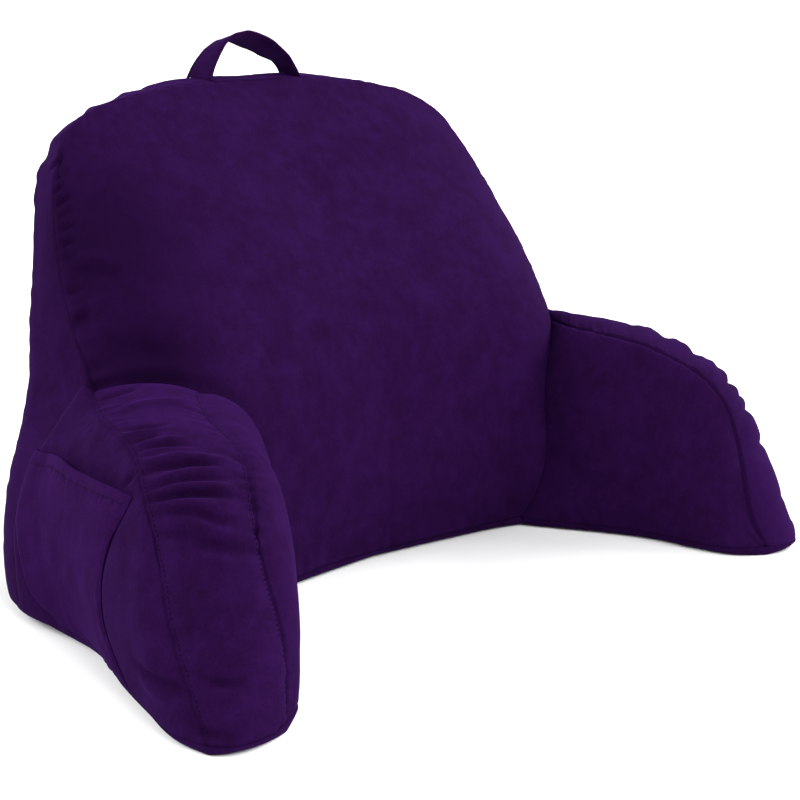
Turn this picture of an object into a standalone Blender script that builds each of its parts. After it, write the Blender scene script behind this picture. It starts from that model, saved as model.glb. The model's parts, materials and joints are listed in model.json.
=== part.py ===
"""Reading pillow with arms: a wedge back rest, two curved arms, a side pocket and a carry handle.

Axes: X to the right seen from the front, the arms point to -Y, Z is up, the pillow rests on Z = 0.
Each cushion is cut panels spread between their seam lines and puffed out by the filling: front, rear,
side strip and bottom on the back rest; inner, outer, strip, root and bottom on an arm.
"""
import bpy
import bmesh
import numpy as np
from mathutils import Vector

MM = 0.001

# driving sizes, millimetres
CUTTER_GROWTH = 1.0        # growth of the back rest where it shapes the arm roots
FRONT_CROWN = 65.0         # how far the filling puffs a panel out
FRONT_LEAN = (0.0, -0.944, 0.33)   # direction in which it does, for the front and the rear panel
REAR_CROWN = 32.0
REAR_LEAN = (0.0, 0.995, 0.1)
SIDE_CROWN_LOW = 14.0      # side strip, near the floor
SIDE_CROWN_HIGH = 0.5      # side strip, near the top
SIDE_LEAN = 1.4            # over 1 puts the fullest line of the strip towards the rear
TOP_CROWN = 7.0
# how far the filling puffs the inner panel of each arm out, and how soon past its root (a power)
ARM_INNER_CROWNS = {"arm_right": (48.0, 3.0), "arm_left": (62.0, 26.0)}
ARM_OUTER_CROWN = 12.0
ARM_STRIP_CROWN = 9.0
CLOTH_THICK = 2.0
POCKET_LIFT = 0.6          # pocket cloth over the arm, at its sewn edges
POCKET_GAPE = 10.0         # more of it in the middle of the mouth
STRAP_THICK = 2.4
SEAM_CREASE = 0.6          # how sharp the seams stay when a cushion is rounded
STRAP_FRONT_Y = 202.0      # front and rear edge of the carry handle
STRAP_REAR_Y = 237.0

# stations along and across the panels, 0..1
BACK_WIDE = (0.0, 0.05, 0.17, 0.33, 0.5, 0.67, 0.83, 0.95, 1.0)
BACK_TALL = (0.0, 0.06, 0.17, 0.31, 0.46, 0.61, 0.76, 0.91, 1.0)
BACK_DEEP = (0.0, 0.12, 0.36, 0.64, 0.88, 1.0)
ARM_LONG = (0.0, 0.08, 0.18, 0.28, 0.35, 0.4, 0.45, 0.5, 0.55, 0.6, 0.65, 0.7, 0.75, 0.84, 0.92, 1.0)
ARM_TALL = (0.0, 0.08, 0.24, 0.42, 0.6, 0.8, 1.0)
ARM_WIDE = (0.0, 0.14, 0.5, 0.86, 1.0)

# seam lines of the right half of the back rest: x, y, z in millimetres
FRONT_SIDE = ((310, 2, 9), (302, 31, 100), (281, 66, 208), (281, 89, 247), (273, 126, 304),
              (258, 157, 361), (242, 175, 395))
FRONT_TOP = ((242, 175, 395), (228, 184, 418), (199, 190, 436), (150, 195, 449), (90, 199, 456),
             (0, 201, 457))
FRONT_FOOT = ((310, 2, 9), (260, -14, 8), (200, -15, 8), (150, -2, 8), (100, 5, 8), (0, 15, 8))
REAR_SIDE = ((313, 164, 9), (302, 174, 100), (273, 183, 200), (253, 199, 290), (236, 216, 360),
             (217, 227, 393))
REAR_TOP = ((217, 227, 393), (189, 234, 411), (152, 240, 430), (90, 246, 445), (0, 249, 451))
REAR_FOOT = ((313, 164, 9), (250, 184, 8), (120, 197, 8), (0, 200, 8))
SIDE_FOOT = ((310, 2, 9), (326, 55, 8), (334, 98, 8), (338, 128, 8), (331, 152, 8), (313, 164, 9))

# seam lines of the right arm: from its root in the back rest over the top and down the nose
INNER_TOP = ((196, 26, 204), (208, 6, 206), (229, -27, 205), (246, -62, 203), (256, -94, 200),
             (261, -124, 194), (269, -146, 184), (282, -172, 164), (289, -188, 140))
INNER_NOSE = ((289, -188, 140), (292, -196, 114), (290, -206, 86), (289, -215, 60), (289, -223, 36),
              (294, -243, 9))
OUTER_TOP = ((268, 86, 208), (282, 64, 207), (296, 38, 200), (312, -2, 198), (321, -43, 195),
             (328, -72, 189), (336, -94, 180), (347, -122, 163), (354, -143, 140))
OUTER_NOSE = ((354, -143, 140), (358, -158, 115), (361, -168, 92), (363, -180, 70), (365, -200, 41),
              (371, -231, 9))
INNER_FOOT = ((165, 20, 8), (178, -12, 8), (200, -47, 8), (226, -87, 8), (250, -134, 8),
              (258, -182, 8), (268, -223, 8), (294, -243, 9))
OUTER_FOOT = ((300, 140, 8), (328, 124, 8), (337, 103, 8), (342, 70, 8), (342, 30, 8), (341, 0, 8),
              (345, -35, 8), (357, -89, 8), (370, -150, 8), (378, -195, 8), (371, -231, 9))
NOSE_FOOT = ((294, -243, 9), (311, -251, 8), (341, -251, 8), (361, -244, 8), (371, -231, 9))
INNER_ROOT = ((196, 26, 204), (199, 30, 140), (188, 28, 70), (165, 20, 8))
OUTER_ROOT = ((268, 86, 208), (280, 100, 180), (297, 124, 135), (303, 142, 90), (300, 140, 8))
ROOT_TOP = ((196, 26, 204), (233, 58, 206), (268, 86, 208))
ROOT_FOOT = ((165, 20, 8), (235, 78, 8), (300, 140, 8))

STRIP_TURN = 0.64          # share of the arm strip that lies on top of the arm

# gathers across the arm strip: place along the top of the arm (0 root .. 1 nose), depth in millimetres
GATHERS = ((0.4, 3.0), (0.5, 5.0), (0.6, 4.5), (0.7, 3.5))
GATHER_REACH = 0.05        # distance from the middle of a gather to the ridge beside it

# pocket outline on the outer arm panel: along (0 root .. 1 nose) and up (0 floor .. 1 top seam)
POCKET_MOUTH = ((0.115, 0.655), (0.29, 0.75), (0.45, 0.775), (0.61, 0.82), (0.785, 0.92))
POCKET_FLOOR = ((0.35, 0.045), (0.53, 0.035), (0.72, 0.045))
POCKET_REAR = ((0.35, 0.045), (0.25, 0.13), (0.20, 0.30), (0.155, 0.46), (0.115, 0.655))
POCKET_FRONT = ((0.72, 0.045), (0.65, 0.20), (0.645, 0.37), (0.68, 0.60), (0.73, 0.76), (0.785, 0.92))

# edges of the carry handle, x and z from the left foot to the right foot
STRAP_FRONT = ((-54, 459), (-42, 483), (-33, 495), (-9, 503), (18, 496), (37, 483), (59, 459))
STRAP_REAR = ((-62, 459), (-38, 484), (-15, 494), (6, 488), (29, 479), (49, 470), (58, 459))
STRAP_SEAT = (-1.7, 0.0, 0.4, -0.3, -2.6)   # height of its feet from front to rear over 459, on the crown

# colours of the cloth (linear)
FABRIC = (0.038, 0.008, 0.082, 1.0)
STRAP_FABRIC = (0.034, 0.007, 0.075, 1.0)


def smooth_line(points, count):
    """Sample a smooth curve through the points at evenly spread lengths."""
    knots = np.asarray(points, float)
    lengths = np.concatenate([[0.0], np.cumsum(np.linalg.norm(np.diff(knots, axis=0), axis=1))])
    slopes = np.zeros_like(knots)
    steps = np.diff(knots, axis=0) / np.diff(lengths)[:, None]
    before, after = np.diff(lengths)[:-1, None], np.diff(lengths)[1:, None]
    slopes[1:-1] = (steps[:-1] * after + steps[1:] * before) / (before + after)
    slopes[0] = 1.5 * steps[0] - 0.5 * slopes[1] if len(knots) > 2 else steps[0]
    slopes[-1] = 1.5 * steps[-1] - 0.5 * slopes[-2] if len(knots) > 2 else steps[-1]
    where = np.linspace(0.0, lengths[-1], count)
    part = np.clip(np.searchsorted(lengths, where, side="right") - 1, 0, len(knots) - 2)
    span = (lengths[part + 1] - lengths[part])[:, None]
    t = (where[:, None] - lengths[part][:, None]) / span
    start = (2 * t ** 3 - 3 * t ** 2 + 1) * knots[part] + (t ** 3 - 2 * t ** 2 + t) * span * slopes[part]
    end = (3 * t ** 2 - 2 * t ** 3) * knots[part + 1] + (t ** 3 - t ** 2) * span * slopes[part + 1]
    return start + end


def at_stations(line, stations):
    """Points of a finely sampled line at shares 0..1 of its length."""
    lengths = np.concatenate([[0.0], np.cumsum(np.linalg.norm(np.diff(line, axis=0), axis=1))])
    where = np.asarray(stations) * lengths[-1]
    return np.stack([np.interp(where, lengths, line[:, axis]) for axis in range(line.shape[1])], axis=-1)


def seam(points, stations):
    """Seam line through the points, at the stations."""
    return at_stations(smooth_line(points, 80), stations)


def mirrored(points):
    """The same points on the other side of the X = 0 plane."""
    return np.asarray(points, float) * np.array([-1.0, 1.0, 1.0])


def full_width(half, stations):
    """Line over the full width from a half line that ends in the middle."""
    right = smooth_line(half, 80)
    return at_stations(np.concatenate([mirrored(right), right[::-1][1:]]), stations)


def spread(foot, top, left, right, along, up):
    """Panel spread between its four seam lines."""
    u = np.asarray(along)[:, None, None]
    v = np.asarray(up)[None, :, None]
    upright = (1 - v) * foot[:, None] + v * top[:, None]
    level = (1 - u) * left[None] + u * right[None]
    corners = (1 - u) * (1 - v) * foot[0] + u * (1 - v) * foot[-1]
    corners = corners + (1 - u) * v * top[0] + u * v * top[-1]
    return upright + level - corners


def outward(panel, guide):
    """Unit normals of a panel, on the side the guide points to at its middle."""
    normal = np.cross(np.gradient(panel, axis=0), np.gradient(panel, axis=1))
    normal = normal / (np.linalg.norm(normal, axis=-1, keepdims=True) + 1e-9)
    middle = normal[panel.shape[0] // 2, panel.shape[1] // 2]
    return normal * np.sign(middle @ np.asarray(guide, float))


def shares(along, up):
    """Grids of the two shares over a panel."""
    return np.meshgrid(np.asarray(along), np.asarray(up), indexing="ij")


def hump(share, power):
    """1 in the middle of a panel and 0 at its seams; a high power keeps the middle flat."""
    return 1.0 - np.abs(2.0 * share - 1.0) ** power


def foot_rise(tall, power=6):
    """0 at the bottom seam and 1 a little above it."""
    return 1.0 - (1.0 - tall) ** power


def top_fade(tall, power):
    """1 over most of a panel, falling to 0 at its top seam."""
    return 1.0 - tall ** power


def floor_panel(foot, top, left, right, along, up):
    """Bottom panel: flat on the floor inside its seam line."""
    panel = spread(foot, top, left, right, along, up)
    panel[1:-1, 1:-1, 2] = 0.0
    return panel


def back_panels():
    """Front, rear, side strip and bottom panels of the back rest."""
    front_side, rear_side = seam(FRONT_SIDE, BACK_TALL), seam(REAR_SIDE, BACK_TALL)
    front_top, rear_top = full_width(FRONT_TOP, BACK_WIDE), full_width(REAR_TOP, BACK_WIDE)
    front_foot, rear_foot = full_width(FRONT_FOOT, BACK_WIDE), full_width(REAR_FOOT, BACK_WIDE)
    side_foot = seam(SIDE_FOOT, BACK_DEEP)
    wide, tall = shares(BACK_WIDE, BACK_TALL)

    front = spread(front_foot, front_top, mirrored(front_side), front_side, BACK_WIDE, BACK_TALL)
    crown = FRONT_CROWN * hump(wide, 4.5) * foot_rise(tall) * top_fade(tall, 2.5)
    front = front + crown[..., None] * np.array(FRONT_LEAN)

    rear = spread(rear_foot, rear_top, mirrored(rear_side), rear_side, BACK_WIDE, BACK_TALL)
    crown = REAR_CROWN * hump(wide, 4) * foot_rise(tall) * top_fade(tall, 3)
    rear = rear + crown[..., None] * np.array(REAR_LEAN)

    # the side strip runs up the left side, over the top and down the right side
    front_line = np.concatenate([mirrored(front_side), front_top[1:-1], front_side[::-1]])
    rear_line = np.concatenate([mirrored(rear_side), rear_top[1:-1], rear_side[::-1]])
    along = np.linspace(0, 1, len(front_line))
    strip = spread(front_line, rear_line, mirrored(side_foot), side_foot, along, BACK_DEEP)
    tall = np.asarray(BACK_TALL)
    side = (SIDE_CROWN_LOW * (1 - tall) ** 1.6 + SIDE_CROWN_HIGH) * foot_rise(tall, 14)
    crown = np.concatenate([side, np.full(len(BACK_WIDE) - 2, TOP_CROWN), side[::-1]])
    crown = crown[:, None] * hump(np.asarray(BACK_DEEP) ** SIDE_LEAN, 2.2)[None]
    strip = strip + crown[..., None] * outward(strip, (0, 0, 1))

    foot = floor_panel(front_foot, rear_foot, mirrored(side_foot), side_foot, BACK_WIDE, BACK_DEEP)
    return [front, rear, strip, foot]


def gather_depth(place):
    """Depth of the gathers at a place along the arm strip."""
    depth = np.zeros_like(place)
    for middle, deepest in GATHERS:
        depth += deepest * np.clip(1 - np.abs(place / STRIP_TURN - middle) / GATHER_REACH, 0, 1)
    return depth


def outer_panel(along=ARM_LONG, up=ARM_TALL):
    """The outer panel of the right arm."""
    down = 1.0 - np.asarray(up)
    foot, top = seam(OUTER_FOOT, along), seam(OUTER_TOP, along)
    root, nose = seam(OUTER_ROOT, down), seam(OUTER_NOSE, down)
    panel = spread(foot, top, root, nose, along, up)
    u, v = shares(along, up)
    return panel + (ARM_OUTER_CROWN * hump(u, 3) * hump(v, 3))[..., None] * outward(panel, (1, 0, 0))


def arm_panels(inner_crown, root_fullness):
    """Inner, outer, strip, root and bottom panels of an arm, on the right."""
    down = 1.0 - np.asarray(ARM_TALL)
    inner_top, outer_top = seam(INNER_TOP, ARM_LONG), seam(OUTER_TOP, ARM_LONG)
    inner_nose, outer_nose = seam(INNER_NOSE, down), seam(OUTER_NOSE, down)
    inner_root, outer_root = seam(INNER_ROOT, down), seam(OUTER_ROOT, down)
    inner_foot, outer_foot = seam(INNER_FOOT, ARM_LONG), seam(OUTER_FOOT, ARM_LONG)
    root_top, root_foot = seam(ROOT_TOP, ARM_WIDE), seam(ROOT_FOOT, ARM_WIDE)
    nose_foot = seam(NOSE_FOOT, ARM_WIDE)
    long, tall = shares(ARM_LONG, ARM_TALL)

    inner = spread(inner_foot, inner_top, inner_root, inner_nose, ARM_LONG, ARM_TALL)
    crown = inner_crown * foot_rise(long, root_fullness) * top_fade(long, 3) * (1 - 0.35 * long ** 2)
    crown = crown * foot_rise(tall, 2.4) * np.sqrt(top_fade(tall, 6))
    inner = inner + crown[..., None] * outward(inner, (-1, 0, 0))

    # the strip runs from the back rest over the top of the arm and down its nose
    inner_line = np.concatenate([inner_top, inner_nose[::-1][1:]])
    outer_line = np.concatenate([outer_top, outer_nose[::-1][1:]])
    place = np.concatenate([np.asarray(ARM_LONG) * STRIP_TURN,
                            STRIP_TURN + (1 - STRIP_TURN) * down[::-1][1:]])
    strip = spread(inner_line, outer_line, root_top, nose_foot, place, ARM_WIDE)
    run, wide = shares(place, ARM_WIDE)
    crown = ARM_STRIP_CROWN * hump(wide, 2.2) - gather_depth(run) * hump(wide, 4)
    crown = crown * foot_rise(run, 30) * top_fade(run, 30)
    strip = strip + crown[..., None] * outward(strip, (0, -1, 1))

    root = spread(root_foot, root_top, inner_root, outer_root, ARM_WIDE, ARM_TALL)
    foot = floor_panel(inner_foot, outer_foot, root_foot, nose_foot, ARM_LONG, ARM_WIDE)
    return [inner, outer_panel(), strip, root, foot]


def cushion_mesh(name, panels):
    """One closed cage from its panels; the seams keep an edge when it is subdivided."""
    mesh = bpy.data.meshes.new(name)
    cage = bmesh.new()
    creases = cage.edges.layers.float.new("crease_edge")
    for panel in panels:
        across, up = panel.shape[:2]
        grid = [[cage.verts.new(Vector(panel[i, j]) * MM) for j in range(up)] for i in range(across)]
        for i in range(across - 1):
            for j in range(up - 1):
                cage.faces.new((grid[i][j], grid[i + 1][j], grid[i + 1][j + 1], grid[i][j + 1]))
    for edge in cage.edges:
        edge[creases] = SEAM_CREASE if edge.is_boundary else 0.0
    bmesh.ops.remove_doubles(cage, verts=cage.verts, dist=0.00005)
    bmesh.ops.recalc_face_normals(cage, faces=cage.faces)
    cage.to_mesh(mesh)
    cage.free()
    return mesh


def sheet_mesh(name, grid):
    """Open grid of faces."""
    mesh = bpy.data.meshes.new(name)
    rows, columns = grid.shape[:2]
    faces = [(i * columns + j, (i + 1) * columns + j, (i + 1) * columns + j + 1, i * columns + j + 1)
             for i in range(rows - 1) for j in range(columns - 1)]
    mesh.from_pydata([tuple(point * MM) for point in grid.reshape(-1, 3)], [], faces)
    return mesh


def fabric(name, colour, roughness):
    """Cloth material."""
    material = bpy.data.materials.new(name)
    material.use_nodes = True
    shader = material.node_tree.nodes["Principled BSDF"]
    shader.inputs["Base Color"].default_value = colour
    shader.inputs["Roughness"].default_value = roughness
    shader.inputs["Metallic"].default_value = 0.0
    shader.inputs["Sheen Weight"].default_value = 0.3
    return material


def add_object(name, mesh, collection, material=None):
    """Put a mesh in the scene, shaded smooth."""
    thing = bpy.data.objects.new(name, mesh)
    collection.objects.link(thing)
    if material:
        mesh.materials.append(material)
    mesh.polygons.foreach_set("use_smooth", [True] * len(mesh.polygons))
    return thing


def subdivide(thing, levels):
    """Round a cage off."""
    step = thing.modifiers.new("Filling", "SUBSURF")
    step.levels = levels
    step.render_levels = levels
    step.boundary_smooth = "PRESERVE_CORNERS"


def thicken(thing, thickness, offset):
    """Give a sheet its thickness."""
    step = thing.modifiers.new("Cloth", "SOLIDIFY")
    step.thickness = thickness * MM
    step.offset = offset
    step.use_even_offset = True


def pocket_grid(rows, columns):
    """Pocket cloth over the outer panel of the left arm, held at three sides and open at its top."""
    along, up = np.linspace(0, 1, rows), np.linspace(0, 1, columns)
    place = spread(seam(POCKET_FLOOR, along), seam(POCKET_MOUTH, along),
                   seam(POCKET_REAR, up), seam(POCKET_FRONT, up), along, up)
    fine = np.linspace(0, 1, 81)
    panel = outer_panel(fine, fine)
    lifted = outward(panel, (1, 0, 0))
    grid = np.zeros((rows, columns, 3))
    u, v = shares(along, up)
    lift = POCKET_LIFT + POCKET_GAPE * hump(u, 2) * v ** 2.5
    for i in range(rows):
        for j in range(columns):
            a, b = place[i, j] * 80
            i0, j0 = min(int(a), 79), min(int(b), 79)
            s, t = a - i0, b - j0
            weights = ((1 - s) * (1 - t), s * (1 - t), (1 - s) * t, s * t)
            around = ((i0, j0), (i0 + 1, j0), (i0, j0 + 1), (i0 + 1, j0 + 1))
            point = sum(w * panel[c] for w, c in zip(weights, around))
            normal = sum(w * lifted[c] for w, c in zip(weights, around))
            grid[i, j] = point + lift[i, j] * normal / np.linalg.norm(normal)
    return mirrored(grid)


def strap_grid(rows, columns):
    """Carry handle: a band between its front and its rear edge."""
    steps = np.linspace(0, 1, rows)
    front, rear = seam(STRAP_FRONT, steps), seam(STRAP_REAR, steps)
    share = np.linspace(0, 1, columns)[None, :, None]
    flat = front[:, None] * (1 - share) + rear[:, None] * share
    depth = STRAP_FRONT_Y + (STRAP_REAR_Y - STRAP_FRONT_Y) * share[..., 0] * np.ones((rows, 1))
    seat = np.interp(share[0, :, 0], np.linspace(0, 1, len(STRAP_SEAT)), STRAP_SEAT)
    height = flat[..., 1] + seat[None] * np.abs(2 * steps - 1)[:, None] ** 10
    return np.stack([flat[..., 0], depth, height], axis=-1)


def build():
    """Model the pillow."""
    for thing in list(bpy.data.objects):
        bpy.data.objects.remove(thing, do_unlink=True)
    scene = bpy.context.scene.collection
    pieces = bpy.data.collections.new("reading_pillow_with_arms")
    cutters = bpy.data.collections.new("cutters")
    scene.children.link(pieces)
    scene.children.link(cutters)

    backrest = add_object("backrest", cushion_mesh("backrest", back_panels()), pieces,
                          fabric("backrest_microsuede", FABRIC, 0.85))
    subdivide(backrest, 1)

    grown = add_object("arm_root_cutter", cushion_mesh("arm_root_cutter", back_panels()), cutters)
    subdivide(grown, 1)
    growth = grown.modifiers.new("Growth", "DISPLACE")
    growth.strength = CUTTER_GROWTH * MM
    growth.mid_level = 0.0
    grown.hide_render = True
    grown.display_type = "WIRE"

    for name, (inner_crown, root_fullness) in ARM_INNER_CROWNS.items():
        panels = arm_panels(inner_crown, root_fullness)
        if name == "arm_left":
            panels = [mirrored(panel) for panel in panels]
        arm = add_object(name, cushion_mesh(name, panels), pieces,
                         fabric(name + "_microsuede", FABRIC, 0.85))
        subdivide(arm, 1)
        root = arm.modifiers.new("Root", "BOOLEAN")
        root.operation = "DIFFERENCE"
        root.solver = "EXACT"
        root.object = grown

    pocket = add_object("pocket", sheet_mesh("pocket", pocket_grid(13, 10)), pieces,
                        fabric("pocket_microsuede", FABRIC, 0.85))
    thicken(pocket, CLOTH_THICK, 1.0)

    handle = add_object("handle", sheet_mesh("handle", strap_grid(25, 5)), pieces,
                        fabric("handle_microsuede", STRAP_FABRIC, 0.8))
    thicken(handle, STRAP_THICK, 0.0)


build()
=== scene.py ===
"""Reading pillow with arms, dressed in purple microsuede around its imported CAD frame.

Each cushion is cut panels sewn into one skin: every panel is spread between its seam lines, puffed
out by the filling, then drawn in at its seams, puckered and folded as the cloth lies. Lengths are in
millimetres until a mesh is made, in the frame of the CAD: X right, arms towards -Y, Z up.
"""
import itertools
import json
import logging
import math
from collections import Counter
from collections.abc import Mapping, Sequence
from dataclasses import dataclass, field
from enum import Enum
from typing import Any

import bmesh
import bpy
import numpy as np
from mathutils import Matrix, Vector
from mathutils.bvhtree import BVHTree
from mathutils.kdtree import KDTree


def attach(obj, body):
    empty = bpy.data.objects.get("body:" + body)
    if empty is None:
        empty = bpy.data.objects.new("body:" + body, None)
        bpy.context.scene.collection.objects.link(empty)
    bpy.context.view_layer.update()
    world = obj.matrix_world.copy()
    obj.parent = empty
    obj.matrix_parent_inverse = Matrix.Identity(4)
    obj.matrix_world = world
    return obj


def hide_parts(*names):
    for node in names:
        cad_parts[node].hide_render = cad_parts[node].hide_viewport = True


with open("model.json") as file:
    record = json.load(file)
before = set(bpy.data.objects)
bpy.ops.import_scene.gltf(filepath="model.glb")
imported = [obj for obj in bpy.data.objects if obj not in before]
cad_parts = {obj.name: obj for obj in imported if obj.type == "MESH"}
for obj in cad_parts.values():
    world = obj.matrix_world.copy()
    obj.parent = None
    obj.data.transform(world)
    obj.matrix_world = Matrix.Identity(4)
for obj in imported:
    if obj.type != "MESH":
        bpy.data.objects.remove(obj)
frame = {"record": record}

LOG = logging.getLogger("reading_pillow")
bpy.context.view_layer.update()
MM = 0.001
REACH = 40.0          # how far a cushion looks for its neighbour
ARM_GAP = 0.5         # between the back rest and the arms and pocket
HANDLE_GAP = 0.1      # between the back rest and the feet of the handle

Line = tuple[tuple[float, ...], ...]


# ---------------------------------------------------------------------------------------- cloth lines


def smooth_line(points: Line | np.ndarray, count: int) -> np.ndarray:
    """Sample a smooth curve through points at evenly spread lengths.

    Args:
        points: the points the curve goes through.
        count: how many samples.

    Returns:
        The samples, one row each.
    """
    knots = np.asarray(points, float)
    legs = np.linalg.norm(np.diff(knots, axis=0), axis=1)
    lengths = np.concatenate([[0.0], np.cumsum(legs)])
    slopes = np.zeros_like(knots)
    steps = np.diff(knots, axis=0) / legs[:, None]
    before, after = legs[:-1, None], legs[1:, None]
    slopes[1:-1] = (steps[:-1] * after + steps[1:] * before) / (before + after)
    slopes[0] = 1.5 * steps[0] - 0.5 * slopes[1] if len(knots) > 2 else steps[0]
    slopes[-1] = 1.5 * steps[-1] - 0.5 * slopes[-2] if len(knots) > 2 else steps[-1]
    where = np.linspace(0.0, lengths[-1], count)
    part = np.clip(np.searchsorted(lengths, where, side="right") - 1, 0, len(knots) - 2)
    span = legs[part][:, None]
    t = (where[:, None] - lengths[part][:, None]) / span
    start = (2 * t**3 - 3 * t**2 + 1) * knots[part] + (t**3 - 2 * t**2 + t) * span * slopes[part]
    end = (3 * t**2 - 2 * t**3) * knots[part + 1] + (t**3 - t**2) * span * slopes[part + 1]
    return start + end


def at_shares(line: np.ndarray, shares: Sequence[float] | np.ndarray) -> np.ndarray:
    """Pick points of a finely sampled line.

    Args:
        line: the sampled line.
        shares: places on it, from 0 to 1 of its length.

    Returns:
        One point for each share.
    """
    lengths = np.concatenate([[0.0], np.cumsum(np.linalg.norm(np.diff(line, axis=0), axis=1))])
    where = np.asarray(shares) * lengths[-1]
    return np.stack([np.interp(where, lengths, line[:, axis]) for axis in range(line.shape[1])], -1)


def seam_line(points: Line, shares: np.ndarray) -> np.ndarray:
    """Seam line through points, at the shares of its length."""
    return at_shares(smooth_line(points, 80), shares)


def mirrored(points: Line | np.ndarray) -> np.ndarray:
    """The same points on the other side of the middle of the pillow."""
    return np.asarray(points, float) * np.array([-1.0, 1.0, 1.0])


def full_width(half: Line, shares: np.ndarray) -> np.ndarray:
    """Seam line over the full width, from the line of its right half that ends in the middle."""
    right = smooth_line(half, 80)
    return at_shares(np.concatenate([mirrored(right), right[::-1][1:]]), shares)


def shares_of(length: float, step: float) -> np.ndarray:
    """Places along a length: a step apart, and closer beside the seams at both ends.

    Args:
        length: the length in millimetres.
        step: distance between places, away from the seams.

    Returns:
        Rising shares from 0 to 1.
    """
    beside = np.array([0.0, 0.9, 1.9, 3.1, 4.6, 6.5, 9.0])
    middle = np.linspace(beside[-1], length - beside[-1], max(3, round((length - 18.0) / step)))
    return np.concatenate([beside, middle[1:-1], length - beside[::-1]]) / length


def spread(foot: np.ndarray, top: np.ndarray, left: np.ndarray, right: np.ndarray,
           along: np.ndarray, up: np.ndarray) -> np.ndarray:
    """Panel of cloth spread between its four seam lines.

    Args:
        foot: lower seam line.
        top: upper seam line.
        left: seam line at the start.
        right: seam line at the end.
        along: shares along foot and top.
        up: shares along left and right.

    Returns:
        Grid of points, along by up.
    """
    u = np.asarray(along)[:, None, None]
    v = np.asarray(up)[None, :, None]
    upright = (1 - v) * foot[:, None] + v * top[:, None]
    level = (1 - u) * left[None] + u * right[None]
    corners = (1 - u) * ((1 - v) * foot[0] + v * top[0]) + u * ((1 - v) * foot[-1] + v * top[-1])
    return upright + level - corners


def outward(panel: np.ndarray, guide: Sequence[float]) -> np.ndarray:
    """Unit normals of a panel's grid, on the side that the guide points to at its middle."""
    normal = np.cross(np.gradient(panel, axis=0), np.gradient(panel, axis=1))
    normal = normal / (np.linalg.norm(normal, axis=-1, keepdims=True) + 1e-9)
    middle = normal[panel.shape[0] // 2, panel.shape[1] // 2]
    return normal * np.sign(middle @ np.asarray(guide, float))


def hump(share: np.ndarray, power: float) -> np.ndarray:
    """1 in the middle of a panel and 0 at its seams; a high power keeps the middle flat."""
    return 1.0 - np.abs(2.0 * share - 1.0) ** power


def rise(share: np.ndarray, power: float) -> np.ndarray:
    """0 at the start of a panel and 1 a little further on."""
    return 1.0 - (1.0 - share) ** power


def fade(share: np.ndarray, power: float) -> np.ndarray:
    """1 over most of a panel, falling to 0 at its end."""
    return 1.0 - share**power


def sample(grid: np.ndarray, place: np.ndarray) -> np.ndarray:
    """Read a grid between its points.

    Args:
        grid: values on an even grid over 0..1 by 0..1.
        place: where to read, the two shares last.

    Returns:
        The values there.
    """
    top = np.array(grid.shape[:2]) - 1
    spot = np.clip(place, 0.0, 1.0) * top
    low = np.minimum(spot.astype(int), top - 1)
    s, t = np.moveaxis(spot - low, -1, 0)[..., None]
    i, j = np.moveaxis(low, -1, 0)
    near = (1 - t) * grid[i, j] + t * grid[i, j + 1]
    far = (1 - t) * grid[i + 1, j] + t * grid[i + 1, j + 1]
    return (1 - s) * near + s * far


def quads(grid: np.ndarray) -> np.ndarray:
    """Faces over a grid of point numbers."""
    return np.stack([grid[:-1, :-1], grid[1:, :-1], grid[1:, 1:], grid[:-1, 1:]], -1).reshape(-1, 4)


class Unevenness:
    """Seeded smooth noise from -1 to 1: how unevenly cloth and filling lie."""

    SIZE = 4096
    PRIMES = (73856093, 19349663, 83492791)

    def __init__(self, seed: int) -> None:
        """Draw the table of values for a seed."""
        self.values = np.random.default_rng(seed).uniform(-1.0, 1.0, self.SIZE)

    def along(self, where: np.ndarray) -> np.ndarray:
        """Value along a line, with one draw for each unit of length."""
        cell = np.floor(where).astype(int)
        t = where - cell
        t = t * t * (3 - 2 * t)
        return (1 - t) * self.values[cell % self.SIZE] + t * self.values[(cell + 1) % self.SIZE]

    def around(self, points: np.ndarray) -> np.ndarray:
        """Value in space, with one draw for each unit cube."""
        cell = np.floor(points).astype(np.int64)
        t = points - cell
        t = t * t * (3 - 2 * t)
        total = np.zeros(points.shape[:-1])
        for corner in itertools.product((0, 1), repeat=3):
            x, y, z = np.moveaxis((cell + np.array(corner)) * self.PRIMES, -1, 0)
            drawn = self.values[(x ^ y ^ z) % self.SIZE]
            total += drawn * np.prod(np.where(np.array(corner) == 1, t, 1 - t), axis=-1)
        return total


# ------------------------------------------------------------------------------------------ sewing


class Edge(Enum):
    """The four sides of a panel's grid."""

    FOOT = "foot"
    TOP = "top"
    START = "start"
    END = "end"


@dataclass(frozen=True)
class Seam:
    """How a sewn edge pulls its cloth in. Sizes in millimetres.

    groove and groove_width are the depth and width of the sewn line, pucker the height of the small
    gathers beside it, spacing their distance, reach how far they run into the panel, lean how much
    they slant, and hidden the length at its start over which the seam is turned under.
    """

    groove: float = 2.2
    groove_width: float = 2.4
    pucker: float = 0.7
    spacing: float = 11.0
    reach: float = 16.0
    lean: float = 0.3
    seed: int = 1
    hidden: float = 0.0

    def lift(self, distance: np.ndarray, run: np.ndarray) -> np.ndarray:
        """Height of the cloth beside the seam.

        Args:
            distance: how far each point is from the seam.
            run: where it is along the seam.

        Returns:
            Heights, below 0 in the sewn line.
        """
        noise = Unevenness(self.seed)
        strength = 0.65 + 0.55 * noise.along(run / 55.0 + 7.3)
        waves = noise.along((run + self.lean * distance) / (self.spacing / 2.6))
        bulge = distance / (self.reach / 3.0) * np.exp(1.0 - distance / (self.reach / 3.0))
        shows = np.clip(run / self.hidden, 0.0, 1.0) ** 2 if self.hidden else 1.0
        sewn = self.groove * np.exp(-(distance / self.groove_width) ** 2)
        return shows * (self.pucker * strength * waves * bulge - sewn)


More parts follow.
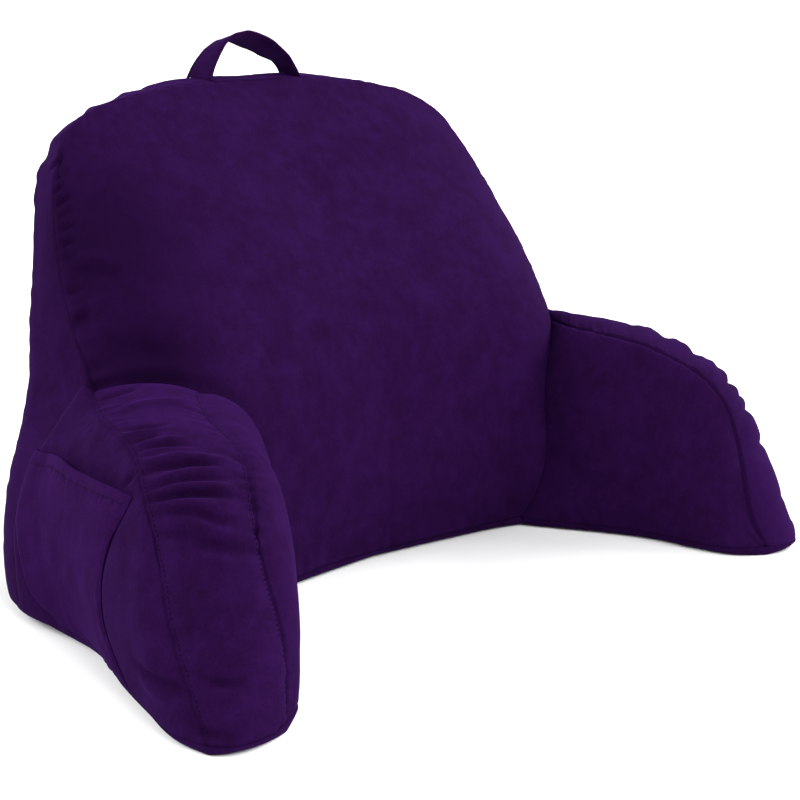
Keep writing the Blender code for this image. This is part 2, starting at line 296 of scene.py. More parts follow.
@dataclass(frozen=True)
class Fold:
    """Ridge (height above 0) or crease (below 0) that the cloth makes along a line, in millimetres."""

    height: float
    width: float
    line: Line

    def lift(self, points: np.ndarray) -> np.ndarray:
        """Height of the fold at points on the cloth.

        Args:
            points: where the cloth is.

        Returns:
            One height a point, fading out at both ends of the fold.
        """
        path = smooth_line(self.line, 24)
        reach = 3.0 * self.width
        close = np.all((points > path.min(0) - reach) & (points < path.max(0) + reach), axis=1)
        lifts = np.zeros(len(points))
        near = points[close]
        if not len(near):
            return lifts
        best = np.full(len(near), np.inf)
        share = np.zeros(len(near))
        for number, (a, b) in enumerate(zip(path[:-1], path[1:])):
            leg = b - a
            t = np.clip((near - a) @ leg / (leg @ leg), 0.0, 1.0)
            away = np.linalg.norm(near - a - t[:, None] * leg, axis=1)
            nearer = away < best
            best[nearer] = away[nearer]
            share[nearer] = (number + t[nearer]) / (len(path) - 1)
        lifts[close] = self.height * np.exp(-((best / self.width) ** 2)) * hump(share, 2.4)
        return lifts


# ridges and creases of the gathered cloth over an arm, given for the right arm
ARM_FOLDS: tuple[Fold, ...] = (
    Fold(-3.6, 4.0, ((293, 37, 203), (284, 29, 209), (276, 21, 213), (268, 12, 215))),
    Fold(3.6, 7.0, ((305, -6, 202), (283, -17, 210), (261, -30, 211), (232, -41, 204))),
    Fold(-2.7, 2.4, ((317, -38, 198), (310, -52, 202), (301, -63, 204), (291, -72, 206))),
    Fold(2.7, 2.6, ((321, -48, 195), (313, -60, 200), (302, -73, 203), (290, -83, 205))),
    Fold(-3.1, 2.4, ((324, -62, 193), (316, -71, 198), (305, -80, 202))),
    Fold(3.1, 2.8, ((325, -71, 191), (317, -79, 196), (306, -90, 200), (292, -103, 201))),
    Fold(-3.1, 2.6, ((327, -77, 190), (318, -86, 195), (306, -99, 198), (294, -114, 198))),
    Fold(2.7, 2.6, ((329, -82, 187), (320, -91, 193), (308, -107, 196), (292, -124, 195))),
    Fold(5.0, 4.6, ((332, -90, 184), (323, -103, 189), (313, -113, 192),
                     (301, -126, 192), (289, -137, 190), (274, -143, 187))),
    Fold(-5.7, 4.0, ((337, -97, 179), (327, -110, 185), (316, -122, 188),
                     (305, -131, 189), (296, -138, 188), (287, -147, 185))),
    Fold(-4.1, 3.5, ((337, -97, 179), (338, -86, 173), (340, -78, 163))),
    Fold(4.3, 4.2, ((343, -106, 168), (338, -115, 175), (329, -124, 180),
                     (319, -130, 184), (303, -139, 186), (283, -147, 185))),
    Fold(-3.6, 3.4, ((344, -110, 167), (335, -125, 175), (321, -137, 180),
                     (305, -149, 181), (285, -157, 179))),
    Fold(5.0, 4.4, ((346, -113, 164), (340, -127, 170), (331, -136, 175),
                     (313, -151, 177), (289, -165, 172))),
    Fold(-5.7, 3.8, ((347, -111, 161), (342, -130, 167), (331, -143, 172),
                     (316, -156, 173), (293, -170, 168))),
    Fold(4.1, 4.2, ((348, -119, 159), (343, -136, 164), (331, -151, 167),
                     (317, -165, 167), (291, -176, 162))),
    Fold(-3.6, 4.0, ((349, -131, 157), (341, -147, 161), (331, -159, 162),
                     (322, -170, 158), (312, -181, 152))),
    Fold(4.8, 4.8, ((334, -150, 166), (326, -160, 164), (315, -172, 160), (292, -180, 155))),
    Fold(5.0, 5.0, ((347, -142, 155), (339, -157, 156), (331, -166, 155),
                     (320, -179, 150), (306, -188, 143))),
    Fold(-5.3, 6.0, ((343, -158, 150), (335, -174, 144), (323, -186, 138),
                     (310, -192, 134), (293, -193, 130))),
    Fold(-3.6, 4.5, ((352, -143, 144), (346, -157, 146), (338, -169, 146))),
    Fold(3.6, 5.0, ((354, -146, 138), (349, -158, 141), (341, -169, 143), (333, -179, 139))),
    Fold(3.4, 6.0, ((339, -178, 134), (326, -189, 131), (308, -195, 128), (291, -195, 122))),
    Fold(-2.0, 3.4, ((281, -139, 190), (272, -141, 187), (266, -143, 186))),
    Fold(-2.6, 3.4, ((291, -154, 180), (279, -156, 178), (271, -158, 177))),
    Fold(-2.6, 3.4, ((295, -163, 174), (284, -164, 173), (275, -166, 171))),
    Fold(-2.2, 3.4, ((297, -171, 167), (285, -172, 165), (278, -174, 164))),
    Fold(-2.4, 3.4, ((299, -176, 161), (288, -177, 160), (279, -179, 157))),
    Fold(-2.4, 3.4, ((301, -186, 147), (287, -186, 143), (279, -187, 142))),
    Fold(-2.2, 3.4, ((305, -193, 133), (289, -192, 129), (280, -192, 128))),
    Fold(-4.3, 4.0, ((369, -130, 44), (373, -156, 43), (373, -175, 42), (368, -194, 40), (363, -209, 38))),
    Fold(4.1, 5.0, ((371, -143, 35), (375, -174, 34), (372, -194, 31), (366, -213, 29))),
    Fold(-4.1, 4.5, ((357, -208, 51), (350, -218, 48), (342, -224, 47), (331, -227, 48))),
    Fold(3.4, 5.0, ((358, -213, 44), (349, -223, 42), (335, -229, 43))),
    Fold(-3.6, 4.0, ((370, -205, 27), (369, -220, 19), (361, -235, 16), (346, -245, 13))),
    Fold(2.7, 6.0, ((359, -171, 94), (345, -190, 101), (326, -204, 99))),
    Fold(-2.4, 6.0, ((365, -173, 73), (352, -194, 81), (330, -213, 76))),
)

# puckers beside the left front seam, and soft folds above the left arm
BACK_FOLDS: tuple[Fold, ...] = (
    Fold(3.0, 6, ((-272, 127, 307), (-261, 113, 311), (-248, 101, 312), (-234, 87, 308))),
    Fold(-2.4, 5, ((-274, 123, 298), (-263, 107, 302), (-251, 94, 302), (-236, 79, 298))),
    Fold(-5.0, 16, ((-276, 75, 238), (-259, 55, 241), (-245, 42, 239), (-217, 22, 233))),
    Fold(3.0, 9, ((-274, 63, 222), (-256, 43, 226), (-237, 27, 225), (-209, 11, 216))),
    Fold(-3.0, 2.6, ((-245, 186, 384), (-243, 178, 391), (-237, 168, 397))),
    Fold(-3.4, 2.6, ((-252, 171, 374), (-248, 164, 381), (-239, 158, 385))),
    Fold(-3.0, 2.4, ((-256, 161, 366), (-252, 157, 371), (-244, 153, 375))),
    Fold(-3.6, 2.8, ((-260, 153, 355), (-254, 150, 361), (-245, 144, 365))),
    Fold(-3.0, 2.6, ((-262, 147, 345), (-257, 143, 351), (-249, 137, 353))),
    Fold(-3.4, 2.8, ((-265, 140, 334), (-259, 136, 339), (-251, 129, 341))),
    Fold(-3.0, 2.6, ((-267, 133, 322), (-262, 129, 327), (-255, 122, 329))),
    Fold(-2.6, 2.6, ((-269, 127, 312), (-265, 122, 315), (-259, 115, 316))),
    Fold(-2.4, 3.0, ((-276, 111, 283), (-271, 106, 287), (-264, 96, 288))),
    Fold(-2.4, 3.0, ((-279, 97, 262), (-274, 92, 267), (-267, 83, 268))),
)


def seam_nap_and_shade(sewn: np.ndarray, depth: float, most: float) -> np.ndarray:
    """Painted shade in sewn lines, where the nap is also pressed flat: the most where they are this deep."""
    return np.clip(-sewn / depth, 0, 1) ** 1.5 * most


def folded(folds: Sequence[Fold], points: np.ndarray) -> tuple[np.ndarray, np.ndarray]:
    """Height that folds give points on the cloth, and the painted shade in their creases.

    Args:
        folds: the folds.
        points: where the cloth is.

    Returns:
        Heights in millimetres, and painted shade from 0 to 1, which is most in the narrow creases.
    """
    lifts = [fold.lift(points) for fold in folds]
    crease_shade = sum(np.clip(-lift / fold.width, 0.0, 1.5) for lift, fold in zip(lifts, folds))
    return sum(lifts), np.clip(0.36 * crease_shade, 0.0, 0.6)


@dataclass
class Panel:
    """One cut piece of cloth: its grid of points, the side that shows and how its edges are sewn."""

    grid: np.ndarray
    guide: tuple[float, float, float]
    seams: dict[Edge, Seam] = field(default_factory=dict)

    def run_to(self, edge: Edge) -> tuple[np.ndarray, np.ndarray]:
        """Distance of every point to an edge, and its place along that edge.

        Args:
            edge: which side of the panel.

        Returns:
            Two grids, both in millimetres.
        """
        flip = edge in (Edge.START, Edge.END)
        grid = self.grid.swapaxes(0, 1) if flip else self.grid
        legs = np.linalg.norm(np.diff(grid, axis=1), axis=-1)
        distance = np.concatenate([np.zeros((len(grid), 1)), np.cumsum(legs, axis=1)], axis=1)
        far = edge in (Edge.TOP, Edge.END)
        if far:
            distance = distance[:, -1:] - distance
        side = grid[:, -1] if far else grid[:, 0]
        run = np.concatenate([[0.0], np.cumsum(np.linalg.norm(np.diff(side, axis=0), axis=1))])
        run = np.repeat(run[:, None], grid.shape[1], axis=1)
        return (distance.T, run.T) if flip else (distance, run)

    def drawn_in(self) -> np.ndarray:
        """Height that the seams give every point of the panel."""
        lift = np.zeros(self.grid.shape[:2])
        for edge, seam in self.seams.items():
            lift += seam.lift(*self.run_to(edge))
        return lift


class Skin:
    """Closed skin of a cushion: its panels sewn together along their shared seam lines."""

    # points in the same cell of this many to the millimetre are one; the offset keeps round
    # coordinates off the cells' borders
    CELLS = 40.0
    OFFSET = 0.137

    def __init__(self, panels: Sequence[Panel]) -> None:
        """Sew the panels.

        Args:
            panels: the panels, whose edges share their points.
        """
        self.panels = list(panels)
        flat = np.concatenate([panel.grid.reshape(-1, 3) for panel in panels])
        keys = np.round(flat * self.CELLS + self.OFFSET).astype(np.int64)
        _, first, sewn = np.unique(keys, axis=0, return_index=True, return_inverse=True)
        self.points = flat[first]
        sewn = sewn.reshape(-1)
        self.numbers: list[np.ndarray] = []
        faces = []
        start = 0
        for panel in panels:
            count = panel.grid.shape[0] * panel.grid.shape[1]
            grid = sewn[start:start + count].reshape(panel.grid.shape[:2])
            self.numbers.append(grid)
            start += count
            cells = quads(grid)
            i, j = panel.grid.shape[0] // 2, panel.grid.shape[1] // 2
            middle = panel.grid[i, j]
            facing = np.cross(panel.grid[i + 1, j] - middle, panel.grid[i, j + 1] - middle)
            faces.append(cells if facing @ np.asarray(panel.guide) > 0 else cells[:, ::-1])
        self.faces = np.concatenate(faces)

    def normals(self) -> np.ndarray:
        """Unit normal of every point."""
        a, b, c, d = (self.points[self.faces[:, k]] for k in range(4))
        face = np.cross(c - a, d - b)
        total = np.zeros_like(self.points)
        for k in range(4):
            np.add.at(total, self.faces[:, k], face)
        return total / (np.linalg.norm(total, axis=1, keepdims=True) + 1e-9)

    def gathered(self, values: Sequence[np.ndarray]) -> np.ndarray:
        """One value a point from a grid of values for each panel, averaged where panels meet."""
        total = np.zeros(len(self.points))
        count = np.zeros(len(self.points))
        for numbers, grid in zip(self.numbers, values):
            np.add.at(total, numbers.ravel(), grid.ravel())
            np.add.at(count, numbers.ravel(), 1.0)
        return total / count

    def push(self, lift: np.ndarray) -> None:
        """Move every point along its normal by its lift, and none through the floor."""
        self.points = self.points + self.normals() * lift[:, None]
        self.points[:, 2] = np.maximum(self.points[:, 2], 0.0)

    def tree(self) -> BVHTree:
        """Search tree of the skin, in millimetres."""
        return BVHTree.FromPolygons(self.points.tolist(), self.faces.tolist())

    def share_of(self, number: int) -> np.ndarray:
        """1 on one panel and 0 on the others, averaged where they meet."""
        return self.gathered([np.full(panel.grid.shape[:2], float(index == number))
                              for index, panel in enumerate(self.panels)])

    def heights_over(self, tree: BVHTree) -> np.ndarray:
        """Height of every point over another skin: below 0 inside it, and REACH where it is far.

        Args:
            tree: search tree of the other skin.

        Returns:
            One height a point.
        """
        height = np.full(len(self.points), REACH)
        for number, point in enumerate(self.points):
            spot, facing, _, away = tree.find_nearest(Vector(point), REACH)
            if spot is not None:
                height[number] = away if (Vector(point) - spot).dot(facing) >= 0 else -away
        return height

    def mesh(self, name: str) -> bpy.types.Mesh:
        """Mesh of the skin, in metres and shaded smooth."""
        return mesh_of(name, self.points, self.faces)


def mesh_of(name: str, points: np.ndarray, faces: np.ndarray | Sequence[Sequence[int]]) -> bpy.types.Mesh:
    """Smooth mesh from points in millimetres.

    Args:
        name: name of the mesh.
        points: its points.
        faces: the point numbers of each face.

    Returns:
        The mesh, in metres.
    """
    mesh = bpy.data.meshes.new(name)
    mesh.from_pydata((np.asarray(points) * MM).tolist(), [], np.asarray(faces).tolist())
    mesh.polygons.foreach_set("use_smooth", [True] * len(mesh.polygons))
    mesh.update()
    return mesh


class Cutter:
    """Finished skin of a cushion that its neighbours are cut back to, with a small gap."""

    touching: float = 0.02

    def __init__(self, skin: Skin, gap: float) -> None:
        """Grow the skin by the gap.

        Args:
            skin: the finished skin.
            gap: distance at which its neighbours end.
        """
        points = skin.points + gap * skin.normals()
        self.tree = BVHTree.FromPolygons(points.tolist(), skin.faces.tolist())
        self.body = bpy.data.objects.new("cutter", mesh_of("cutter", points, skin.faces))

    def cut(self, mesh: bpy.types.Mesh) -> bpy.types.Mesh:
        """Take what lies in the grown skin off a mesh, and crease it round the cut.

        Args:
            mesh: closed mesh of the neighbour.

        Returns:
            The largest closed piece that is left.
        """
        whole = bpy.data.objects.new(mesh.name, mesh)
        for thing in (whole, self.body):
            bpy.context.scene.collection.objects.link(thing)
        step = whole.modifiers.new("cut", "BOOLEAN")
        step.operation = "DIFFERENCE"
        step.object = self.body
        step.solver = "MANIFOLD"
        graph = bpy.context.evaluated_depsgraph_get()
        left = bpy.data.meshes.new_from_object(whole.evaluated_get(graph))
        bpy.data.objects.remove(whole)
        bpy.context.scene.collection.objects.unlink(self.body)
        shape = bmesh.new()
        shape.from_mesh(left)
        bmesh.ops.remove_doubles(shape, verts=shape.verts, dist=self.touching * MM)
        keep_largest(shape)
        bmesh.ops.triangulate(shape, faces=[face for face in shape.faces if len(face.verts) > 4])
        uses = Counter(frozenset(face.verts) for face in shape.faces)
        fins = [face for face in shape.faces if uses[frozenset(face.verts)] > 1]
        bmesh.ops.delete(shape, geom=fins, context="FACES")
        on_cut = {}
        for corner in shape.verts:
            _, _, _, away = self.tree.find_nearest(corner.co / MM, 2.0)
            on_cut[corner] = away is not None and away < self.touching
        for face in shape.faces:
            face.tag = all(on_cut[corner] for corner in face.verts)
            face.smooth = True
        for edge in shape.edges:
            edge.smooth = len({face.tag for face in edge.link_faces}) == 1
        shape.to_mesh(left)
        shape.free()
        left.materials.clear()
        left.name = mesh.name
        return left


def still_on(mesh: bpy.types.Mesh, points: np.ndarray) -> np.ndarray:
    """Which points lie on a cut mesh, and not on what was taken off it.

    Args:
        mesh: the cut mesh.
        points: points of the whole mesh, in millimetres.

    Returns:
        True or False for each point.
    """
    shape = bmesh.new()
    shape.from_mesh(mesh)
    tree = BVHTree.FromBMesh(shape)
    shape.free()
    return np.array([tree.find_nearest(Vector(point) * MM, 0.3 * MM)[0] is not None for point in points])


def keep_largest(shape: bmesh.types.BMesh) -> None:
    """Remove all but the largest connected piece of a mesh."""
    groups, seen = [], set()
    for start in shape.verts:
        if start in seen:
            continue
        group, edge = [], [start]
        seen.add(start)
        while edge:
            corner = edge.pop()
            group.append(corner)
            for line in corner.link_edges:
                other = line.other_vert(corner)
                if other not in seen:
                    seen.add(other)
                    edge.append(other)
        groups.append(group)
    groups.sort(key=len)
    bmesh.ops.delete(shape, geom=[corner for group in groups[:-1] for corner in group], context="VERTS")


def carried_over(mesh: bpy.types.Mesh, points: np.ndarray, values: np.ndarray) -> np.ndarray:
    """Values of the nearest points of a skin, for each vertex of a mesh cut from it.

    Args:
        mesh: the cut mesh.
        points: the skin's points, in millimetres.
        values: one value for each of them.

    Returns:
        One value for each vertex.
    """
    finder = KDTree(len(points))
    for number, point in enumerate(points.tolist()):
        finder.insert(point, number)
    finder.balance()
    return values[[finder.find(corner.co / MM)[1] for corner in mesh.vertices]]


def put(name: str, mesh: bpy.types.Mesh, finish: bpy.types.Material) -> bpy.types.Object:
    """Place a mesh in the scene with its finish."""
    piece = bpy.data.objects.new(name, mesh)
    bpy.context.scene.collection.objects.link(piece)
    mesh.materials.append(finish)
    return piece


def double_layer(outer: np.ndarray, inner: np.ndarray) -> tuple[np.ndarray, np.ndarray]:
    """Closed sheet of cloth from its two faces.

    Args:
        outer: grid of points of the outer face.
        inner: grid of the same shape under it.

    Returns:
        Points and faces of the closed sheet.
    """
    rows, columns = outer.shape[:2]
    top = np.arange(rows * columns).reshape(rows, columns)
    under = top + rows * columns

    def ring(grid: np.ndarray) -> np.ndarray:
        """Point numbers round the edge of a grid."""
        return np.concatenate([grid[:-1, 0], grid[-1, :-1], grid[:0:-1, -1], grid[0, :0:-1]])

    edge, edge_under = ring(top), ring(under)
    rim = np.stack([edge, edge_under, np.roll(edge_under, -1), np.roll(edge, -1)], -1)
    points = np.concatenate([outer.reshape(-1, 3), inner.reshape(-1, 3)])
    return points, np.concatenate([quads(top), quads(under)[:, ::-1], rim])


# ---------------------------------------------------------------------------------------- finishes


def linear(code: str) -> tuple[float, float, float, float]:
    """Linear colour from an sRGB hex code such as #3a1852."""
    parts = [int(code[i:i + 2], 16) / 255.0 for i in (1, 3, 5)]
    return (*(p / 12.92 if p <= 0.04045 else ((p + 0.055) / 1.055) ** 2.4 for p in parts), 1.0)


def node(tree: bpy.types.NodeTree, kind: str, settings: Mapping[str, Any] | None = None,
         inputs: Mapping[str | int, Any] | None = None) -> bpy.types.Node:
    """Add a node with its settings and links.

    Args:
        tree: the material's node tree.
        kind: Blender's name of the kind of node.
        settings: values of the node's own properties.
        inputs: for each input, a value or the output that is linked to it.

    Returns:
        The node.
    """
    made = tree.nodes.new(kind)
    for key, value in (settings or {}).items():
        setattr(made, key, value)
    for key, value in (inputs or {}).items():
        if isinstance(value, bpy.types.NodeSocket):
            tree.links.new(value, made.inputs[key])
        else:
            made.inputs[key].default_value = value
    return made


def new_material(name: str) -> tuple[bpy.types.Material, bpy.types.NodeTree, bpy.types.Node]:
    """Material with its node tree and its Principled shader."""
    material = bpy.data.materials.new(name)
    material.use_nodes = True
    return material, material.node_tree, material.node_tree.nodes["Principled BSDF"]


@dataclass(frozen=True)
class Microsuede:
    """Brushed polyester microsuede: very fine fibres, raised and brushed.

    To the eye it is deep, matt and even, with soft clouds where the nap lies another way, a faint
    bloom at grazing angles and no gloss.
    """

    name: str
    brushed: str = "#200932"      # nap lying towards the light
    ruffled: str = "#180523"      # nap lying away from it
    away: str = "#10031a"         # colour of the painted shade patches; the arms' copy is lighter, a painted highlight
    pressed: str = "#09010e"      # painted shade in creases and sewn lines, where the nap is also pressed flat
    cloud_mm: float = 30.0        # size of the clouds in the nap
    streak_mm: float = 9.0        # width of the finer brush marks
    fibre_mm: float = 1.6         # fibre ends are 0.05 mm wide, drawn at 1.6 mm so that they show
    cloud_weight: float = 0.56
    streak_weight: float = 0.40
    fibre_weight: float = 0.62
    nap_range: tuple[float, float] = (0.56, 1.02)  # weighted sum at which the nap is ruffled and brushed
    bump_mm: float = 0.5
    roughness: float = 0.92
    sheen: float = 0.07

    def material(self) -> bpy.types.Material:
        """Build the material.

        Returns:
            A Principled material with clouds, brush marks and fibre grain.
        """
        material, tree, shader = new_material(self.name)
        place = node(tree, "ShaderNodeTexCoord").outputs["Object"]
        clouds = node(tree, "ShaderNodeTexNoise", {"noise_dimensions": "3D"}, {
            "Vector": place, "Scale": 1.0 / (self.cloud_mm * MM), "Detail": 5.0, "Roughness": 0.62,
            "Distortion": 0.25})
        upright = node(tree, "ShaderNodeMapping", {}, {"Vector": place, "Scale": (1.0, 1.0, 0.55)})
        streaks = node(tree, "ShaderNodeTexNoise", {}, {
            "Vector": upright.outputs[0], "Scale": 1.0 / (self.streak_mm * MM), "Detail": 3.0,
            "Roughness": 0.6})
        fibres = node(tree, "ShaderNodeTexNoise", {}, {
            "Vector": place, "Scale": 1.0 / (self.fibre_mm * MM), "Detail": 2.0, "Roughness": 0.7})
        clouded = node(tree, "ShaderNodeMath", {"operation": "MULTIPLY"}, {
            0: clouds.outputs["Fac"], 1: self.cloud_weight})
        lying = node(tree, "ShaderNodeMath", {"operation": "MULTIPLY_ADD"}, {
            0: streaks.outputs["Fac"], 1: self.streak_weight, 2: clouded.outputs[0]})
        speckled = node(tree, "ShaderNodeMath", {"operation": "MULTIPLY_ADD"}, {
            0: fibres.outputs["Fac"], 1: self.fibre_weight, 2: lying.outputs[0]})
        nap = node(tree, "ShaderNodeMapRange", {"interpolation_type": "SMOOTHSTEP"}, {
            "Value": speckled.outputs[0], "From Min": self.nap_range[0], "From Max": self.nap_range[1]})
        colour = node(tree, "ShaderNodeMix", {"data_type": "RGBA"}, {
            "Factor": nap.outputs[0], "A": linear(self.ruffled), "B": linear(self.brushed)})
        packed = node(tree, "ShaderNodeAttribute", {"attribute_name": "packed"})
        combed = node(tree, "ShaderNodeAttribute", {"attribute_name": "combed"})
        # painted shade patches on the back rest, and a lighter painted highlight on the arms
        with_painted_light = node(tree, "ShaderNodeMix", {"data_type": "RGBA"}, {
            "Factor": combed.outputs["Fac"], "A": colour.outputs[2], "B": linear(self.away)})
        # painted shade in the creases and sewn lines, where the nap is also pressed flat
        seam = node(tree, "ShaderNodeMix", {"data_type": "RGBA"}, {
            "Factor": packed.outputs["Fac"], "A": with_painted_light.outputs[2], "B": linear(self.pressed)})
        tree.links.new(seam.outputs[2], shader.inputs["Base Color"])
        bump = node(tree, "ShaderNodeBump", {}, {
            "Height": speckled.outputs[0], "Strength": 0.35, "Distance": self.bump_mm * MM})
        tree.links.new(bump.outputs["Normal"], shader.inputs["Normal"])
        shader.inputs["Roughness"].default_value = self.roughness
        shader.inputs["IOR"].default_value = 1.5
        shader.inputs["Specular IOR Level"].default_value = 0.01
        shader.inputs["Sheen Weight"].default_value = self.sheen
        shader.inputs["Sheen Roughness"].default_value = 0.45
        shader.inputs["Sheen Tint"].default_value = linear("#8238cc")
        return material


@dataclass(frozen=True)
class SewingThread:
    """Spun polyester sewing thread in the colour of the cloth: a small satin glint on each stitch."""

    name: str
    colour: str = "#190726"

    def material(self) -> bpy.types.Material:
        """Build the material."""
        material, tree, shader = new_material(self.name)
        place = node(tree, "ShaderNodeTexCoord").outputs["Object"]
        twist = node(tree, "ShaderNodeTexNoise", {}, {"Vector": place, "Scale": 900.0, "Detail": 1.0})
        shade = node(tree, "ShaderNodeMix", {"data_type": "RGBA"}, {
            "Factor": twist.outputs["Fac"], "A": linear(self.colour), "B": linear("#0c0314")})
        tree.links.new(shade.outputs[2], shader.inputs["Base Color"])
        shader.inputs["Roughness"].default_value = 0.7
        shader.inputs["Specular IOR Level"].default_value = 0.02
        return material


@dataclass(frozen=True)
class StudioPaper:
    """Seamless white background paper: matt, with no visible grain at this distance."""

    name: str = "studio_paper"
    colour: str = "#ebebeb"

    def material(self) -> bpy.types.Material:
        """Build the material."""
        material, _, shader = new_material(self.name)
        shader.inputs["Base Color"].default_value = linear(self.colour)
        shader.inputs["Roughness"].default_value = 0.9
        shader.inputs["Specular IOR Level"].default_value = 0.1
        return material


# ---------------------------------------------------------------------------------------- sub-assemblies


def mark(mesh: bpy.types.Mesh, name: str, values: np.ndarray) -> None:
    """Store a value from 0 to 1 at every point, under a name that the microsuede reads: painted shade and
    painted highlight in its colour.
    """
    layer = mesh.attributes.new(name, "FLOAT", "POINT")
    layer.data.foreach_set("value", np.clip(values, 0.0, 1.0).astype(np.float32))


def floor_panel(foot: np.ndarray, top: np.ndarray, left: np.ndarray, right: np.ndarray,
                along: np.ndarray, up: np.ndarray, roll: float = 13.0) -> Panel:
    """Bottom panel: flat on the floor, and rolled up to its seam line all round.

    Args:
        foot: seam line at the front.
        top: seam line at the rear.
        left: seam line at the start.
        right: seam line at the end.
        along: shares along foot and top.
        up: shares along left and right.
        roll: width of the rolled edge.

    Returns:
        The panel.
    """
    panel = Panel(spread(foot, top, left, right, along, up), (0.0, 0.0, -1.0))
    nearest = np.min([panel.run_to(edge)[0] for edge in Edge], axis=0)
    panel.grid[..., 2] *= np.clip(1.0 - nearest / roll, 0.0, 1.0) ** 2.2
    return panel


